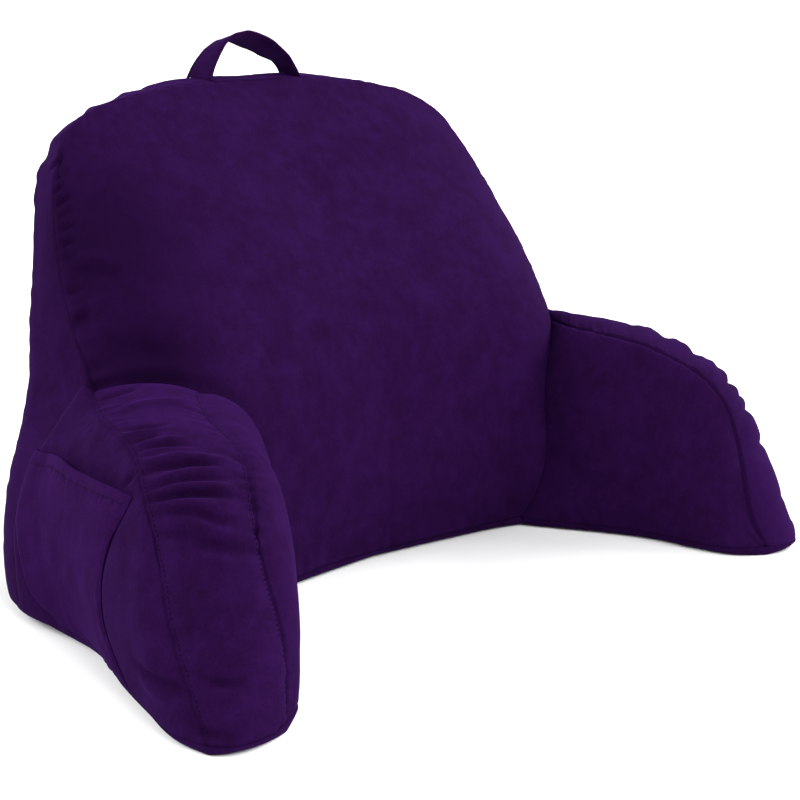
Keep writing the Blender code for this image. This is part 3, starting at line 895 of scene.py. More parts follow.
@dataclass
class BackCushion:
    """Wedge-shaped back rest: front, rear, one strip round sides and top, and a bottom panel."""

    name: str = "back_cushion"
    front_crown: float = 65.0
    front_lean: tuple[float, float, float] = (0.0, -0.944, 0.33)
    rear_crown: float = 32.0
    rear_lean: tuple[float, float, float] = (0.0, 0.995, 0.1)
    side_crown_low: float = 14.0
    side_crown_high: float = 0.5
    side_lean: float = 1.4
    top_crown: float = 7.0
    step: float = 3.6
    lumps: tuple[tuple[float, float], ...] = ((1.6, 75.0), (0.5, 26.0))  # height and size of each kind
    pressed: tuple[float, float] = (2.2, 7.0)                            # by the arms: depth and reach
    swollen: tuple[float, float] = (8.0, 14.0)                           # strip beside the arms
    front_side: Line = ((310, 2, 9), (302, 31, 100), (281, 66, 208), (281, 89, 247), (273, 126, 304),
                        (258, 157, 361), (242, 175, 395))
    front_top: Line = ((242, 175, 395), (228, 184, 418), (199, 190, 436), (150, 195, 449), (90, 199, 456),
                       (0, 201, 457))
    front_foot: Line = ((310, 2, 9), (260, -14, 8), (200, -15, 8), (150, -2, 8), (100, 5, 8), (0, 15, 8))
    rear_side: Line = ((309, 161, 9), (297, 170, 100), (267, 178, 200), (249, 196, 290), (237, 210, 345),
                       (229, 221, 374), (218, 226, 389))
    rear_top: Line = ((218, 226, 389), (184, 231, 408), (150, 238, 425), (90, 245, 446), (0, 249, 450))
    rear_foot: Line = ((309, 161, 9), (250, 184, 8), (120, 197, 8), (0, 200, 8))
    side_foot: Line = ((310, 2, 9), (323, 53, 8), (330, 96, 8), (333, 125, 8), (326, 148, 8), (309, 161, 9))
    folds: tuple[Fold, ...] = BACK_FOLDS
    scallops: tuple[tuple[float, float], ...] = (
        (-213, -0.7), (-203, 1.6), (-175, -4.6), (-160, 2.6), (-144, -2.6), (-126, 1.8), (-107, -1.5))
    # painted shade: centre, radius and strength of each darker patch, on the left of the front and in the
    # hollow above the left arm
    painted_shade_spots: tuple[tuple[Line, float, float], ...] = (
        ((-240, 105, 330), 85.0, 0.7), ((-240, 25, 225), 45.0, 0.75))

    FRONT, REAR, STRIP, BOTTOM = range(4)
    # stations of the CAD along the height and the width, which set how the strip's bulge runs round
    TALL = (0.0, 0.06, 0.17, 0.31, 0.46, 0.61, 0.76, 0.91, 1.0)
    WIDE = (0.0, 0.05, 0.17, 0.33, 0.5, 0.67, 0.83, 0.95, 1.0)

    def panels(self) -> list[Panel]:
        """Cut the four panels.

        Returns:
            Front, rear, strip and bottom panel.
        """
        wide, tall, deep = shares_of(620, self.step), shares_of(480, self.step), shares_of(150, self.step)
        front_side, rear_side = seam_line(self.front_side, tall), seam_line(self.rear_side, tall)
        front_top, rear_top = full_width(self.front_top, wide), full_width(self.rear_top, wide)
        front_foot, rear_foot = full_width(self.front_foot, wide), full_width(self.rear_foot, wide)
        side_foot = seam_line(self.side_foot, deep)
        across, up = np.meshgrid(wide, tall, indexing="ij")

        front = spread(front_foot, front_top, mirrored(front_side), front_side, wide, tall)
        crown = self.front_crown * hump(across, 4.5) * rise(up, 6) * fade(up, 2.5)
        front = front + crown[..., None] * np.array(self.front_lean)

        rear = spread(rear_foot, rear_top, mirrored(rear_side), rear_side, wide, tall)
        crown = self.rear_crown * hump(across, 4) * rise(up, 6) * fade(up, 3)
        rear = rear + crown[..., None] * np.array(self.rear_lean)

        front_line = np.concatenate([mirrored(front_side), front_top[1:-1], front_side[::-1]])
        rear_line = np.concatenate([mirrored(rear_side), rear_top[1:-1], rear_side[::-1]])
        number = np.arange(float(len(self.TALL)))
        last = number[-1]
        left = np.interp(tall, self.TALL, number)
        over = np.interp(wide[1:-1], self.WIDE, number + last)
        round_it = np.concatenate([left, over, 3 * last - left[::-1]]) / (3 * last)
        strip = spread(front_line, rear_line, mirrored(side_foot), side_foot, round_it, deep)
        side = (self.side_crown_low * (1 - tall) ** 1.6 + self.side_crown_high) * rise(tall, 14)
        top = np.interp(wide[1:-1], (0.0, 0.05, 0.95, 1.0),
                        (side[-1], self.top_crown, self.top_crown, side[-1]))
        crown = np.concatenate([side, top, side[::-1]])[:, None] * hump(deep**self.side_lean, 2.2)[None]
        strip = strip + crown[..., None] * outward(strip, (0, 0, 1))

        front_seam = Seam(groove=1.5, pucker=2.8, spacing=15, reach=26, seed=11)
        rear_seam = Seam(groove=2.6, pucker=2.2, spacing=16, reach=26, seed=12)
        top_seam = Seam(groove=1.8, pucker=0.7, spacing=16, reach=20, seed=13)
        rear_top_seam = Seam(groove=2.2, pucker=1.6, spacing=22, reach=26, seed=14)
        foot_seam = Seam(groove=2.4, pucker=1.5, spacing=20, reach=24, seed=15)
        bottom = floor_panel(front_foot, rear_foot, mirrored(side_foot), side_foot, wide, deep)
        return [
            Panel(front, (0, -1, 0.3), {
                Edge.START: front_seam, Edge.END: Seam(1.6, 2.4, 1.2, 12, 24, 0.3, 21),
                Edge.TOP: top_seam, Edge.FOOT: foot_seam}),
            Panel(rear, (0, 1, 0.1), {
                Edge.START: rear_seam, Edge.END: Seam(2.6, 2.4, 1.5, 14, 26, 0.3, 22),
                Edge.TOP: rear_top_seam, Edge.FOOT: foot_seam}),
            Panel(strip, (0, 0, 1), {
                Edge.FOOT: Seam(1.8, 2.4, 1.0, 13, 20, 0.2, 23),
                Edge.TOP: Seam(2.4, 2.4, 2.2, 22, 24, 0.2, 24),
                Edge.START: Seam(2.4, 2.4, 0.7, 15, 20, 0.2, 25),
                Edge.END: Seam(2.4, 2.4, 0.7, 15, 20, 0.2, 26)}),
            bottom,
        ]

    def shoulder(self, strip: Panel, rear: Panel) -> list[Fold]:
        """Scallops over the left shoulder, at these places of the rear seam and of these heights."""
        folds = []
        for x, height in self.scallops:
            across = int(np.argmin(np.abs(rear.grid[:, -1, 0] - x)))
            over = strip.grid[rear.grid.shape[1] + across - 1, 6:-1:6]
            line = np.concatenate([over, rear.grid[across, -1:-20:-4]])
            folds.append(Fold(height, 6.0, tuple(map(tuple, line))))
        return folds

    def combed(self, points: np.ndarray) -> np.ndarray:
        """How much painted shade darkens each point: patches on the left of the front and in the hollow above
        the left arm.
        """
        share = np.zeros(len(points))
        for spot, radius, amount in self.painted_shade_spots:
            share += amount * np.exp(-((np.linalg.norm(points - np.array(spot), axis=1) / radius) ** 2))
        return share

    def skin(self, arms: Sequence[BVHTree]) -> tuple[Skin, np.ndarray]:
        """Sew and shape the cushion.

        Args:
            arms: search trees of the plain arms, which press into it.

        Returns:
            The finished skin, and the painted shade at its points, in creases and sewn lines where the nap is
            also pressed flat.
        """
        skin = Skin(self.panels())
        sewn = skin.gathered([panel.drawn_in() for panel in skin.panels])
        lift = sewn
        for number, (height, size) in enumerate(self.lumps):
            lift = lift + height * Unevenness(31 + number).around(skin.points / size)
        scallops = self.shoulder(skin.panels[self.STRIP], skin.panels[self.REAR])
        creases, crease_shade = folded([*self.folds, *scallops], skin.points)
        lift += creases
        beside = skin.share_of(self.STRIP)
        (depth, width), (swell, reach) = self.pressed, self.swollen
        for tree in arms:
            height = skin.heights_over(tree)
            lift -= depth * np.exp(-((height / width) ** 2)) * (1 - beside)
            lift += swell * np.exp(-np.maximum(height, 0.0) / reach) * beside * (height < REACH - 0.1)
        lift[skin.numbers[self.BOTTOM][1:-1, 1:-1]] = 0.0
        skin.push(lift)
        return skin, seam_nap_and_shade(sewn, 3.2, 0.55) + crease_shade


class Side(Enum):
    """Which arm, seen by whoever leans on the pillow's front."""

    LEFT = -1
    RIGHT = 1


@dataclass
class PaddedArm:
    """Curved arm: inner and outer panel, a strip over its top and down its nose, root and bottom."""

    side: Side
    seed: int
    inner_crown: float = 64.0
    root_fullness: float = 26.0
    crest: float = 0.5
    nose_shift: tuple[float, float, float] = (0.0, 0.0, 0.0)
    seam_waves: float = 1.0
    hidden_seam: float = 0.0
    root_draw: float = 4.5
    # strength of the painted highlight on the strip down the nose
    painted_nose_highlight: float = 0.0
    seam_depth: float = 1.0
    fold_strength: float = 1.0
    outer_crown: float = 12.0
    strip_crown: float = 9.0
    strip_turn: float = 0.64
    step: float = 2.6
    lumps: tuple[tuple[float, float], ...] = ((1.3, 55.0), (0.5, 20.0))  # height and size of each kind
    inner_taper: float = 0.35
    crest_at: float = 0.12
    crest_width: float = 0.08
    root_puff: float = 9.0
    root_puff_reach: float = 16.0
    root_draw_reach: float = 7.0
    inner_top: Line = ((196, 26, 204), (208, 6, 206), (229, -27, 205), (246, -62, 203), (256, -94, 200),
                       (261, -124, 194), (269, -146, 184), (282, -172, 164), (289, -188, 140))
    inner_nose: Line = ((289, -188, 140), (290, -197, 114), (287, -206, 86), (286, -214, 60),
                        (289, -221, 36), (301, -237, 9))
    outer_top: Line = ((262, 80, 208), (282, 64, 207), (296, 38, 200), (312, -2, 198), (321, -43, 195),
                       (328, -72, 189), (336, -94, 180), (347, -122, 163), (354, -143, 140))
    outer_nose: Line = ((354, -143, 140), (358, -158, 115), (361, -168, 92), (363, -180, 70),
                        (365, -200, 41), (371, -231, 9))
    inner_foot: Line = ((165, 20, 8), (178, -12, 8), (200, -47, 8), (226, -87, 8), (250, -134, 8),
                        (260, -180, 8), (274, -216, 8), (301, -237, 9))
    outer_foot: Line = ((290, 140, 8), (326, 124, 8), (335, 103, 8), (337, 70, 8), (336, 30, 8),
                        (336, 0, 8), (341, -35, 8), (357, -89, 8), (370, -150, 8), (378, -195, 8),
                        (371, -231, 9))
    nose_foot: Line = ((301, -237, 9), (317, -245, 8), (341, -248, 8), (360, -242, 8), (371, -231, 9))
    inner_root: Line = ((196, 26, 204), (199, 30, 140), (188, 28, 70), (165, 20, 8))
    outer_root: Line = ((262, 80, 208), (266, 100, 180), (280, 126, 135), (288, 142, 90), (290, 140, 8))
    root_top: Line = ((196, 26, 204), (233, 58, 206), (262, 80, 208))
    root_foot: Line = ((165, 20, 8), (235, 78, 8), (290, 140, 8))
    folds: tuple[Fold, ...] = ARM_FOLDS
    gathers: tuple[tuple[float, float], ...] = ()

    INNER, OUTER, STRIP, ROOT, BOTTOM = range(5)

    @property
    def name(self) -> str:
        """Name of the piece."""
        return f"{self.side.name.lower()}_arm_cushion"

    def strip_gathers(self, strip: Panel) -> list[Fold]:
        """Gathers across the strip, at this arm's shares of its length and of these depths."""
        rows = len(strip.grid) - 1
        lines = [(depth, strip.grid[round(share * rows), 2::5]) for share, depth in self.gathers]
        return [Fold(-depth, 5.5, tuple(map(tuple, line))) for depth, line in lines]

    def shifted(self, points: np.ndarray) -> np.ndarray:
        """How far this arm's own stuffing moves its points, more and more towards the nose."""
        return np.clip((20.0 - points[..., 1:2]) / 150.0, 0.0, 1.0) * np.array(self.nose_shift)

    def outer_panel(self, along: np.ndarray, up: np.ndarray) -> np.ndarray:
        """Outer panel of the right arm, puffed out.

        Args:
            along: shares from the root to the nose.
            up: shares from the foot to the top.

        Returns:
            Grid of points, along by up.
        """
        foot, top = seam_line(self.outer_foot, along), seam_line(self.outer_top, along)
        root, nose = seam_line(self.outer_root, 1.0 - up), seam_line(self.outer_nose, 1.0 - up)
        panel = spread(foot, top, root, nose, along, up)
        u, v = np.meshgrid(along, up, indexing="ij")
        crown = self.outer_crown * hump(u, 3) * rise(v, 3) * fade(v, 4.5)
        return panel + crown[..., None] * outward(panel, (1, 0, 0))

    def panels(self) -> list[Panel]:
        """Cut the five panels.

        Returns:
            Inner, outer, strip, root and bottom panel, on this arm's side of the pillow.
        """
        long, tall, wide = shares_of(330, self.step), shares_of(200, self.step), shares_of(76, self.step)
        down = 1.0 - tall
        inner_top, outer_top = seam_line(self.inner_top, long), seam_line(self.outer_top, long)
        inner_nose, outer_nose = seam_line(self.inner_nose, down), seam_line(self.outer_nose, down)
        inner_root, outer_root = seam_line(self.inner_root, down), seam_line(self.outer_root, down)
        inner_foot, outer_foot = seam_line(self.inner_foot, long), seam_line(self.outer_foot, long)
        root_top, root_foot = seam_line(self.root_top, wide), seam_line(self.root_foot, wide)
        nose_foot = seam_line(self.nose_foot, wide)
        u, v = np.meshgrid(long, tall, indexing="ij")

        inner = spread(inner_foot, inner_top, inner_root, inner_nose, long, tall)
        crown = self.inner_crown * rise(u, self.root_fullness) * fade(u, 3) * rise(v, 2.4)
        crown = crown * fade(v, 6) ** 0.5 * (1.0 - self.inner_taper * u**2)
        inner = inner + crown[..., None] * outward(inner, (-1, 0, 0))

        inner_line = np.concatenate([inner_top, inner_nose[::-1][1:]])
        outer_line = np.concatenate([outer_top, outer_nose[::-1][1:]])
        place = np.concatenate([long * self.strip_turn, self.strip_turn + (1 - self.strip_turn) * tall[1:]])
        strip = spread(inner_line, outer_line, root_top, nose_foot, place, wide)
        run, across = np.meshgrid(place, wide, indexing="ij")
        crest = 1.0 + self.crest * np.exp(-((run - self.crest_at) / self.crest_width) ** 2)
        crown = self.strip_crown * crest * hump(across, 2.2) * rise(run, 30) * fade(run, 30)
        strip = strip + crown[..., None] * outward(strip, (0, -1, 1))

        root = spread(root_foot, root_top, inner_root, outer_root, wide, tall)
        bottom = floor_panel(inner_foot, outer_foot, root_foot, nose_foot, long, wide)
        seed, waves, deep = self.seed, self.seam_waves, self.seam_depth
        cut = [
            Panel(inner, (-1, 0, 0), {
                Edge.TOP: Seam(1.3 * deep, 2.2, 0.9, 10, 16, 0.4, seed, self.hidden_seam),
                Edge.END: Seam(1.2 * deep, 2.2, 0.7, 12, 16, 0.4, seed + 1),
                Edge.FOOT: Seam(2.0, 2.4, 1.2, 18, 18, 0.4, seed + 2)}),
            Panel(self.outer_panel(long, tall), (1, 0, 0), {
                Edge.TOP: Seam(1.2, 2.2, 0.8, 10 * waves, 16, 0.4, seed + 3),
                Edge.END: Seam(1.1, 2.2, 0.5, 14, 14, 0.4, seed + 4),
                Edge.FOOT: Seam(2.0, 2.4, 0.6, 14, 18, 0.4, seed + 5)}),
            Panel(strip, (0, -1, 1), {
                Edge.FOOT: Seam(1.3 * deep, 2.2, 1.3, 10, 22, 0.4, seed + 6, self.hidden_seam),
                Edge.TOP: Seam(1.2, 2.2, 1.3, 10 * waves, 22, -0.4, seed + 7),
                Edge.END: Seam(2.0, 2.4, 0.8, 14, 18, 0.2, seed + 8)}),
            Panel(root, (0, 1, 0)),
            bottom,
        ]
        for panel in cut:
            panel.grid = panel.grid + self.shifted(panel.grid)
        if self.side is Side.LEFT:
            for panel in cut:
                panel.grid = mirrored(panel.grid)
                panel.guide = tuple(mirrored(panel.guide))
        return cut

    def combed(self, skin: Skin) -> np.ndarray:
        """How much painted highlight each point gets: on the strip, more and more down the nose."""
        share = [np.zeros(panel.grid.shape[:2]) for panel in skin.panels]
        rows, columns = share[self.STRIP].shape
        down = np.clip(np.linspace(-0.9, 1.6, rows), 0.0, 1.0)
        share[self.STRIP] = self.painted_nose_highlight * np.repeat(down[:, None], columns, axis=1)
        return skin.gathered(share)

    def plain(self) -> Skin:
        """The arm before its cloth is drawn in and folded."""
        return Skin(self.panels())

    def skin(self, back: BVHTree) -> tuple[Skin, np.ndarray]:
        """Sew and shape the arm against the finished back rest.

        Args:
            back: search tree of the back rest.

        Returns:
            The finished skin, and the painted shade at its points, in creases and sewn lines where the nap is
            also pressed flat.
        """
        skin = self.plain()
        sewn = skin.gathered([panel.drawn_in() for panel in skin.panels])
        lift = sewn
        for number, (height, size) in enumerate(self.lumps):
            lift = lift + height * Unevenness(self.seed + 40 + number).around(skin.points / size)
        flat = mirrored(skin.points) if self.side is Side.LEFT else skin.points
        flat = flat - self.shifted(flat)
        ruffles, crease_shade = folded(self.folds, flat)
        gathers, more = folded(self.strip_gathers(skin.panels[self.STRIP]), skin.points)
        lift += self.fold_strength * ruffles + gathers
        crease_shade = self.fold_strength * crease_shade + more
        height = skin.heights_over(back)
        outer = skin.share_of(self.OUTER)
        near = np.maximum(height, 0.0)
        # the outer panel puffs beside the back rest, and no more where it is 14 mm inside it
        outside = np.clip((height + 14.0) / 10.0, 0.0, 1.0)
        lift += self.root_puff * np.exp(-near / self.root_puff_reach) * outside * outer
        lift -= self.root_draw * np.exp(-near / self.root_draw_reach) * (1 - outer)
        lift[skin.numbers[self.BOTTOM][1:-1, 1:-1]] = 0.0
        skin.push(lift)
        return skin, seam_nap_and_shade(sewn, 2.8, 0.5) + crease_shade

    def stitching(self, skin: Skin, arm: bpy.types.Mesh, thread: bpy.types.Material) -> bpy.types.Object:
        """Rows of stitches along both long seams of the strip.

        Args:
            skin: the finished arm.
            arm: its mesh, cut back to the back rest.
            thread: finish of the stitches.

        Returns:
            The stitches as one piece.
        """
        strip, facing = skin.numbers[self.STRIP], skin.normals()
        first = strip.shape[0] // 10
        lines = [strip[first:-6, column] for column in (3, -4)]
        lines = [line[still_on(arm, skin.points[line])] for line in lines]
        rows = [(skin.points[line] + 0.2 * facing[line], facing[line]) for line in lines]
        stitches = stitch_row(f"{self.side.name.lower()}_arm_stitching", rows, thread, 4.0, 2.4, 0.3)
        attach(stitches, "root")
        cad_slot(f"arm_{self.side.name.lower()}")
        return stitches


# seam lines that the right arm's own stuffing leaves elsewhere than the left arm's
RIGHT_ARM_LINES: dict[str, Line] = {
    "inner_top": ((262, 56, 203), (252, 22, 204), (243, -20, 204), (246, -62, 203), (256, -94, 200),
                  (263, -124, 194), (272, -146, 184), (286, -172, 164), (294, -188, 140)),
    "inner_nose": ((294, -188, 140), (298, -196, 114), (298, -205, 86), (297, -213, 60), (298, -220, 36),
                   (304, -236, 9)),
    "inner_foot": ((165, 20, 8), (178, -12, 8), (200, -47, 8), (226, -87, 8), (250, -134, 8), (260, -180, 8),
                   (274, -216, 8), (304, -236, 9)),
    "inner_root": ((262, 56, 203), (217, 33, 150), (191, 26, 70), (165, 20, 8)),
    "outer_top": ((262, 80, 203), (282, 64, 202), (296, 38, 198), (312, -2, 197), (321, -43, 195),
                  (328, -72, 189), (336, -94, 180), (347, -122, 163), (354, -143, 140)),
    "outer_nose": ((354, -143, 140), (358, -158, 115), (361, -168, 92), (363, -180, 70), (361, -196, 41),
                   (362, -223, 9)),
    "outer_foot": ((290, 140, 8), (326, 124, 8), (335, 103, 8), (337, 70, 8), (336, 30, 8), (336, 0, 8),
                   (341, -35, 8), (357, -89, 8), (366, -150, 8), (370, -190, 8), (362, -223, 9)),
    "outer_root": ((262, 80, 203), (266, 100, 180), (280, 126, 135), (288, 142, 90), (290, 140, 8)),
    "root_top": ((262, 56, 203), (263, 68, 203), (262, 80, 203)),
    "nose_foot": ((304, -236, 9), (317, -243, 8), (338, -244, 8), (353, -236, 8), (362, -223, 9)),
}


@dataclass
class SlipPocket:
    """Flat pocket on the outer face of the left arm, sewn at three sides and open at its top."""

    arm: PaddedArm
    name: str = "side_pocket"
    flat_area: float = 0.0265
    lift: float = 0.2
    puff: float = 3.2
    puff_reach: float = 14.0
    gape: float = 6.0
    clear: float = 0.5
    thickness: float = 1.4
    hem_width: float = 11.0
    hem_rise: float = 1.0
    rows: int = 110
    columns: int = 96
    mouth: Line = ((0.115, 0.655), (0.29, 0.75), (0.45, 0.775), (0.61, 0.82), (0.785, 0.92))
    floor: Line = ((0.35, 0.045), (0.53, 0.035), (0.72, 0.045))
    rear: Line = ((0.35, 0.045), (0.25, 0.13), (0.20, 0.30), (0.155, 0.46), (0.115, 0.655))
    front: Line = ((0.72, 0.045), (0.65, 0.20), (0.645, 0.37), (0.68, 0.60), (0.73, 0.76), (0.785, 0.92))

    def places(self) -> np.ndarray:
        """Where the pocket's points are on the outer panel, as shares along it and up it."""
        along, up = np.linspace(0, 1, self.rows), np.linspace(0, 1, self.columns)
        return spread(seam_line(self.floor, along), seam_line(self.mouth, along),
                      seam_line(self.rear, up), seam_line(self.front, up), along, up)

    def on_the_arm(self, place: np.ndarray, height: np.ndarray | float) -> np.ndarray:
        """Points over the outer panel of the left arm.

        Args:
            place: shares along and up the panel.
            height: distance from the panel.

        Returns:
            The points.
        """
        fine = np.linspace(0, 1, 121)
        panel = self.arm.outer_panel(fine, fine)
        normal = sample(outward(panel, (1, 0, 0)), place)
        normal = normal / np.linalg.norm(normal, axis=-1, keepdims=True)
        return mirrored(sample(panel, place) + np.asarray(height)[..., None] * normal)

    def sewn_lines(self) -> tuple[Fold, ...]:
        """The creases that the pocket's sewn edges press into the arm."""
        shares = np.linspace(0, 1, 9)
        creases = []
        for line, depth in ((self.rear, -1.0), (self.front, -2.0)):
            path = mirrored(self.on_the_arm(seam_line(line, shares), np.zeros(len(shares))))
            creases.append(Fold(depth, 3.0, tuple(map(tuple, path))))
        return tuple(creases)

    def cloth(self, arm: BVHTree) -> tuple[np.ndarray, np.ndarray, np.ndarray]:
        """Lay the pocket on the finished arm.

        Args:
            arm: search tree of the finished left arm.

        Returns:
            Grids of the outer face, the inner face and the outward direction.
        """
        place = self.places()
        u, v = np.meshgrid(np.linspace(0, 1, self.rows), np.linspace(0, 1, self.columns), indexing="ij")
        flat = Panel(self.on_the_arm(place, np.zeros(u.shape)), (-1, 0, 0))
        from_mouth, run = flat.run_to(Edge.TOP)
        edge = np.minimum(flat.run_to(Edge.START)[0], flat.run_to(Edge.END)[0])
        edge = np.minimum(edge, flat.run_to(Edge.FOOT)[0])
        lift = self.lift + self.puff * (1 - np.exp(-edge / self.puff_reach)) + self.gape * hump(u, 2) * v**2.5
        inner = self.on_the_arm(place, lift)
        normal = self.on_the_arm(place, lift + 1.0) - inner
        for i, j in itertools.product(range(self.rows), range(self.columns)):
            spot, facing, _, away = arm.find_nearest(Vector(inner[i, j]), 30.0)
            if spot is None:
                continue
            height = (Vector(inner[i, j]) - spot).dot(facing)
            if height < self.clear:
                inner[i, j] = np.array(spot + facing * self.clear)
        noise = Unevenness(61)
        puckers = noise.along(run / 3.4) * np.exp(-(((from_mouth - self.hem_width - 1.5) / 4.0) ** 2))
        hem = self.hem_rise / (1 + np.exp((from_mouth - self.hem_width) / 0.8))
        thick = self.thickness + hem + 0.8 * puckers + 0.35 * noise.around(flat.grid / 18.0)
        thick = thick * (1 - 0.85 * np.exp(-((edge / 2.4) ** 2)))
        return inner + thick[..., None] * normal, inner, normal

    def build(self, arm: BVHTree, back: Cutter, cloth: bpy.types.Material,
              thread: bpy.types.Material) -> bpy.types.Object:
        """Make the pocket and its hem stitching.

        Args:
            arm: search tree of the finished left arm.
            back: cutter of the finished back rest, which the pocket is cut back to.
            cloth: finish of the pocket.
            thread: finish of the stitches.

        Returns:
            The pocket.
        """
        outer, inner, normal = self.cloth(arm)
        points, faces = double_layer(outer, inner)
        piece = put(self.name, back.cut(mesh_of(self.name, points, faces)), cloth)
        from_mouth, _ = Panel(outer, (-1, 0, 0)).run_to(Edge.TOP)
        column = int(np.argmin(np.abs(from_mouth.mean(0) - self.hem_width)))
        row = (outer[3:-3, column], normal[3:-3, column])
        stitches = stitch_row("pocket_hem_stitching", [row], thread)
        for part in (piece, stitches):
            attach(part, "root")
        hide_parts("pocket")
        self.arm.name
        LOG.info("%s: cloth area %.4f m2", self.name, sheet_area(outer))
        return piece


@dataclass
class CarryHandle:
    """Folded band over the top of the back rest, sewn down at both feet."""

    name: str = "carry_handle"
    front_y: float = 202.0
    rear_y: float = 237.0
    length: float = 190.0
    thickness: float = 2.4
    rows: int = 120
    columns: int = 25
    front: Line = ((-56, 448), (-42, 483), (-33, 495), (-9, 503), (18, 496), (37, 483), (61, 449))
    rear: Line = ((-66, 446), (-38, 484), (-15, 494), (6, 488), (29, 479), (49, 470), (61, 447))
    seat: tuple[float, ...] = (-1.7, 0.0, 0.4, -0.3, -2.6)

    def middle(self) -> np.ndarray:
        """Grid of points half way through the band, from its left foot to its right foot."""
        steps = np.linspace(0, 1, self.rows)
        share = np.linspace(0, 1, self.columns)[None, :, None]
        front, rear = seam_line(self.front, steps), seam_line(self.rear, steps)
        flat = front[:, None] * (1 - share) + rear[:, None] * share
        depth = self.front_y + (self.rear_y - self.front_y) * share[..., 0] * np.ones((self.rows, 1))
        seat = np.interp(share[0, :, 0], np.linspace(0, 1, len(self.seat)), self.seat)
        height = flat[..., 1] + seat[None] * np.abs(2 * steps - 1)[:, None] ** 10
        return np.stack([flat[..., 0], depth, height], axis=-1)

    def build(self, back: Cutter, cloth: bpy.types.Material, thread: bpy.types.Material) -> bpy.types.Object:
        """Make the handle and its two rows of stitching.

        Args:
            back: cutter of the finished back rest, which its feet are cut back to.
            cloth: finish of the band.
            thread: finish of the stitches.

        Returns:
            The handle.
        """
        grid = self.middle()
        normal = outward(grid, (0, 0, 1))
        share = np.linspace(0, 1, self.columns)[None]
        run = np.linspace(0, self.length, self.rows)[:, None]
        noise = Unevenness(71)
        from_edge = np.minimum(share, 1 - share) * (self.rear_y - self.front_y)
        rounded = np.clip(1 - (1 - np.minimum(from_edge / 1.6, 1)) ** 2, 0.08, 1)
        folded_edge = 0.5 * np.exp(-(((from_edge - 1.8) / 1.4) ** 2))
        sewn_line = 0.35 * np.exp(-(((from_edge - 4.0) / 1.0) ** 2))
        half = 0.5 * self.thickness * np.sqrt(rounded) + folded_edge - sewn_line
        wave = 0.5 * noise.along(run / 9.0 + 0 * share) * np.exp(-from_edge / 5.0)
        outer = grid + normal * (half + wave)[..., None]
        inner = grid - normal * (half - wave)[..., None]
        points, faces = double_layer(outer, inner)
        piece = put(self.name, back.cut(mesh_of(self.name, points, faces)), cloth)
        rows = []
        for column in (3, self.columns - 4):
            clear = still_on(piece.data, outer[:, column])
            rows.append((outer[clear, column], normal[clear, column]))
        stitches = stitch_row("handle_stitching", rows, thread)
        for part in (piece, stitches):
            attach(part, "root")
        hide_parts("handle")
        return piece


STITCH_SIDES = 6
# rings along a stitch: place along it in lengths, then size and height over the cloth in radii
STITCH_RINGS = ((-0.5, 0.35, -0.25), (-0.3, 1.0, 0.25), (0.0, 1.05, 0.4), (0.3, 1.0, 0.25),
                (0.5, 0.35, -0.25))


def stitch_row(name: str, rows: Sequence[tuple[np.ndarray, np.ndarray]], thread: bpy.types.Material,
               pitch: float = 4.0, length: float = 2.7, radius: float = 0.38) -> bpy.types.Object:
    """Rows of separate stitches along lines on the cloth.

    Args:
        name: name of the piece.
        rows: for each row, its points and the outward direction at each.
        thread: finish of the stitches.
        pitch: distance from one stitch to the next.
        length: length of a stitch that shows.
        radius: half the thickness of the thread.

    Returns:
        The stitches as one piece.
    """
    points: list[np.ndarray] = []
    faces: list[list[int]] = []
    around = np.linspace(0, 2 * math.pi, STITCH_SIDES, endpoint=False)
    last = (len(STITCH_RINGS) - 1) * STITCH_SIDES
    for path, facing in rows:
        total = np.linalg.norm(np.diff(path, axis=0), axis=1).sum()
        count = int(total / pitch)
        shares = (np.arange(count) + 0.5) / count
        middles = at_shares(path, shares)
        ahead = at_shares(path, shares + 0.2 / count) - middles
        ups = at_shares(facing, shares)
        for middle, way, up in zip(middles, ahead, ups):
            way = way / np.linalg.norm(way)
            up = up - way * (up @ way)
            up = up / np.linalg.norm(up)
            aside = np.cross(way, up)
            base = sum(len(p) for p in points)
            for place, size, height in STITCH_RINGS:
                centre = middle + way * place * length + up * height * radius
                turn = np.cos(around)[:, None] * aside + np.sin(around)[:, None] * up
                points.append(centre + radius * size * turn)
            for ring in range(base, base + last, STITCH_SIDES):
                for k in range(STITCH_SIDES):
                    a, b = ring + k, ring + (k + 1) % STITCH_SIDES
                    faces.append([a, a + STITCH_SIDES, b + STITCH_SIDES, b])
            faces.append([base + k for k in range(STITCH_SIDES)])
            faces.append([base + last + k for k in reversed(range(STITCH_SIDES))])
    mesh = bpy.data.meshes.new(name)
    mesh.from_pydata((np.concatenate(points) * MM).tolist(), [], faces)
    mesh.polygons.foreach_set("use_smooth", [True] * len(mesh.polygons))
    return put(name, mesh, thread)


def sheet_area(grid: np.ndarray) -> float:
    """Area of a grid of cloth, in square metres."""
    a, b, c, d = grid[:-1, :-1], grid[1:, :-1], grid[1:, 1:], grid[:-1, 1:]
    return float(np.linalg.norm(np.cross(c - a, d - b), axis=-1).sum() / 2 * MM * MM)


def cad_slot(node_name: str) -> str:
    """The record's material slot of a CAD node."""
    for material in frame["record"]["materials"]:
        if node_name in material.get("nodes", [material.get("node", "")]) or node_name in material["slot"]:
            return material["slot"]
    raise KeyError(node_name)


def direction(azimuth: float, elevation: float) -> Vector:
    """Unit vector towards a direction in degrees, from -Y towards +X and above the horizon."""
    a, e = math.radians(azimuth), math.radians(elevation)
    return Vector((math.sin(a) * math.cos(e), -math.cos(a) * math.cos(e), math.sin(e)))


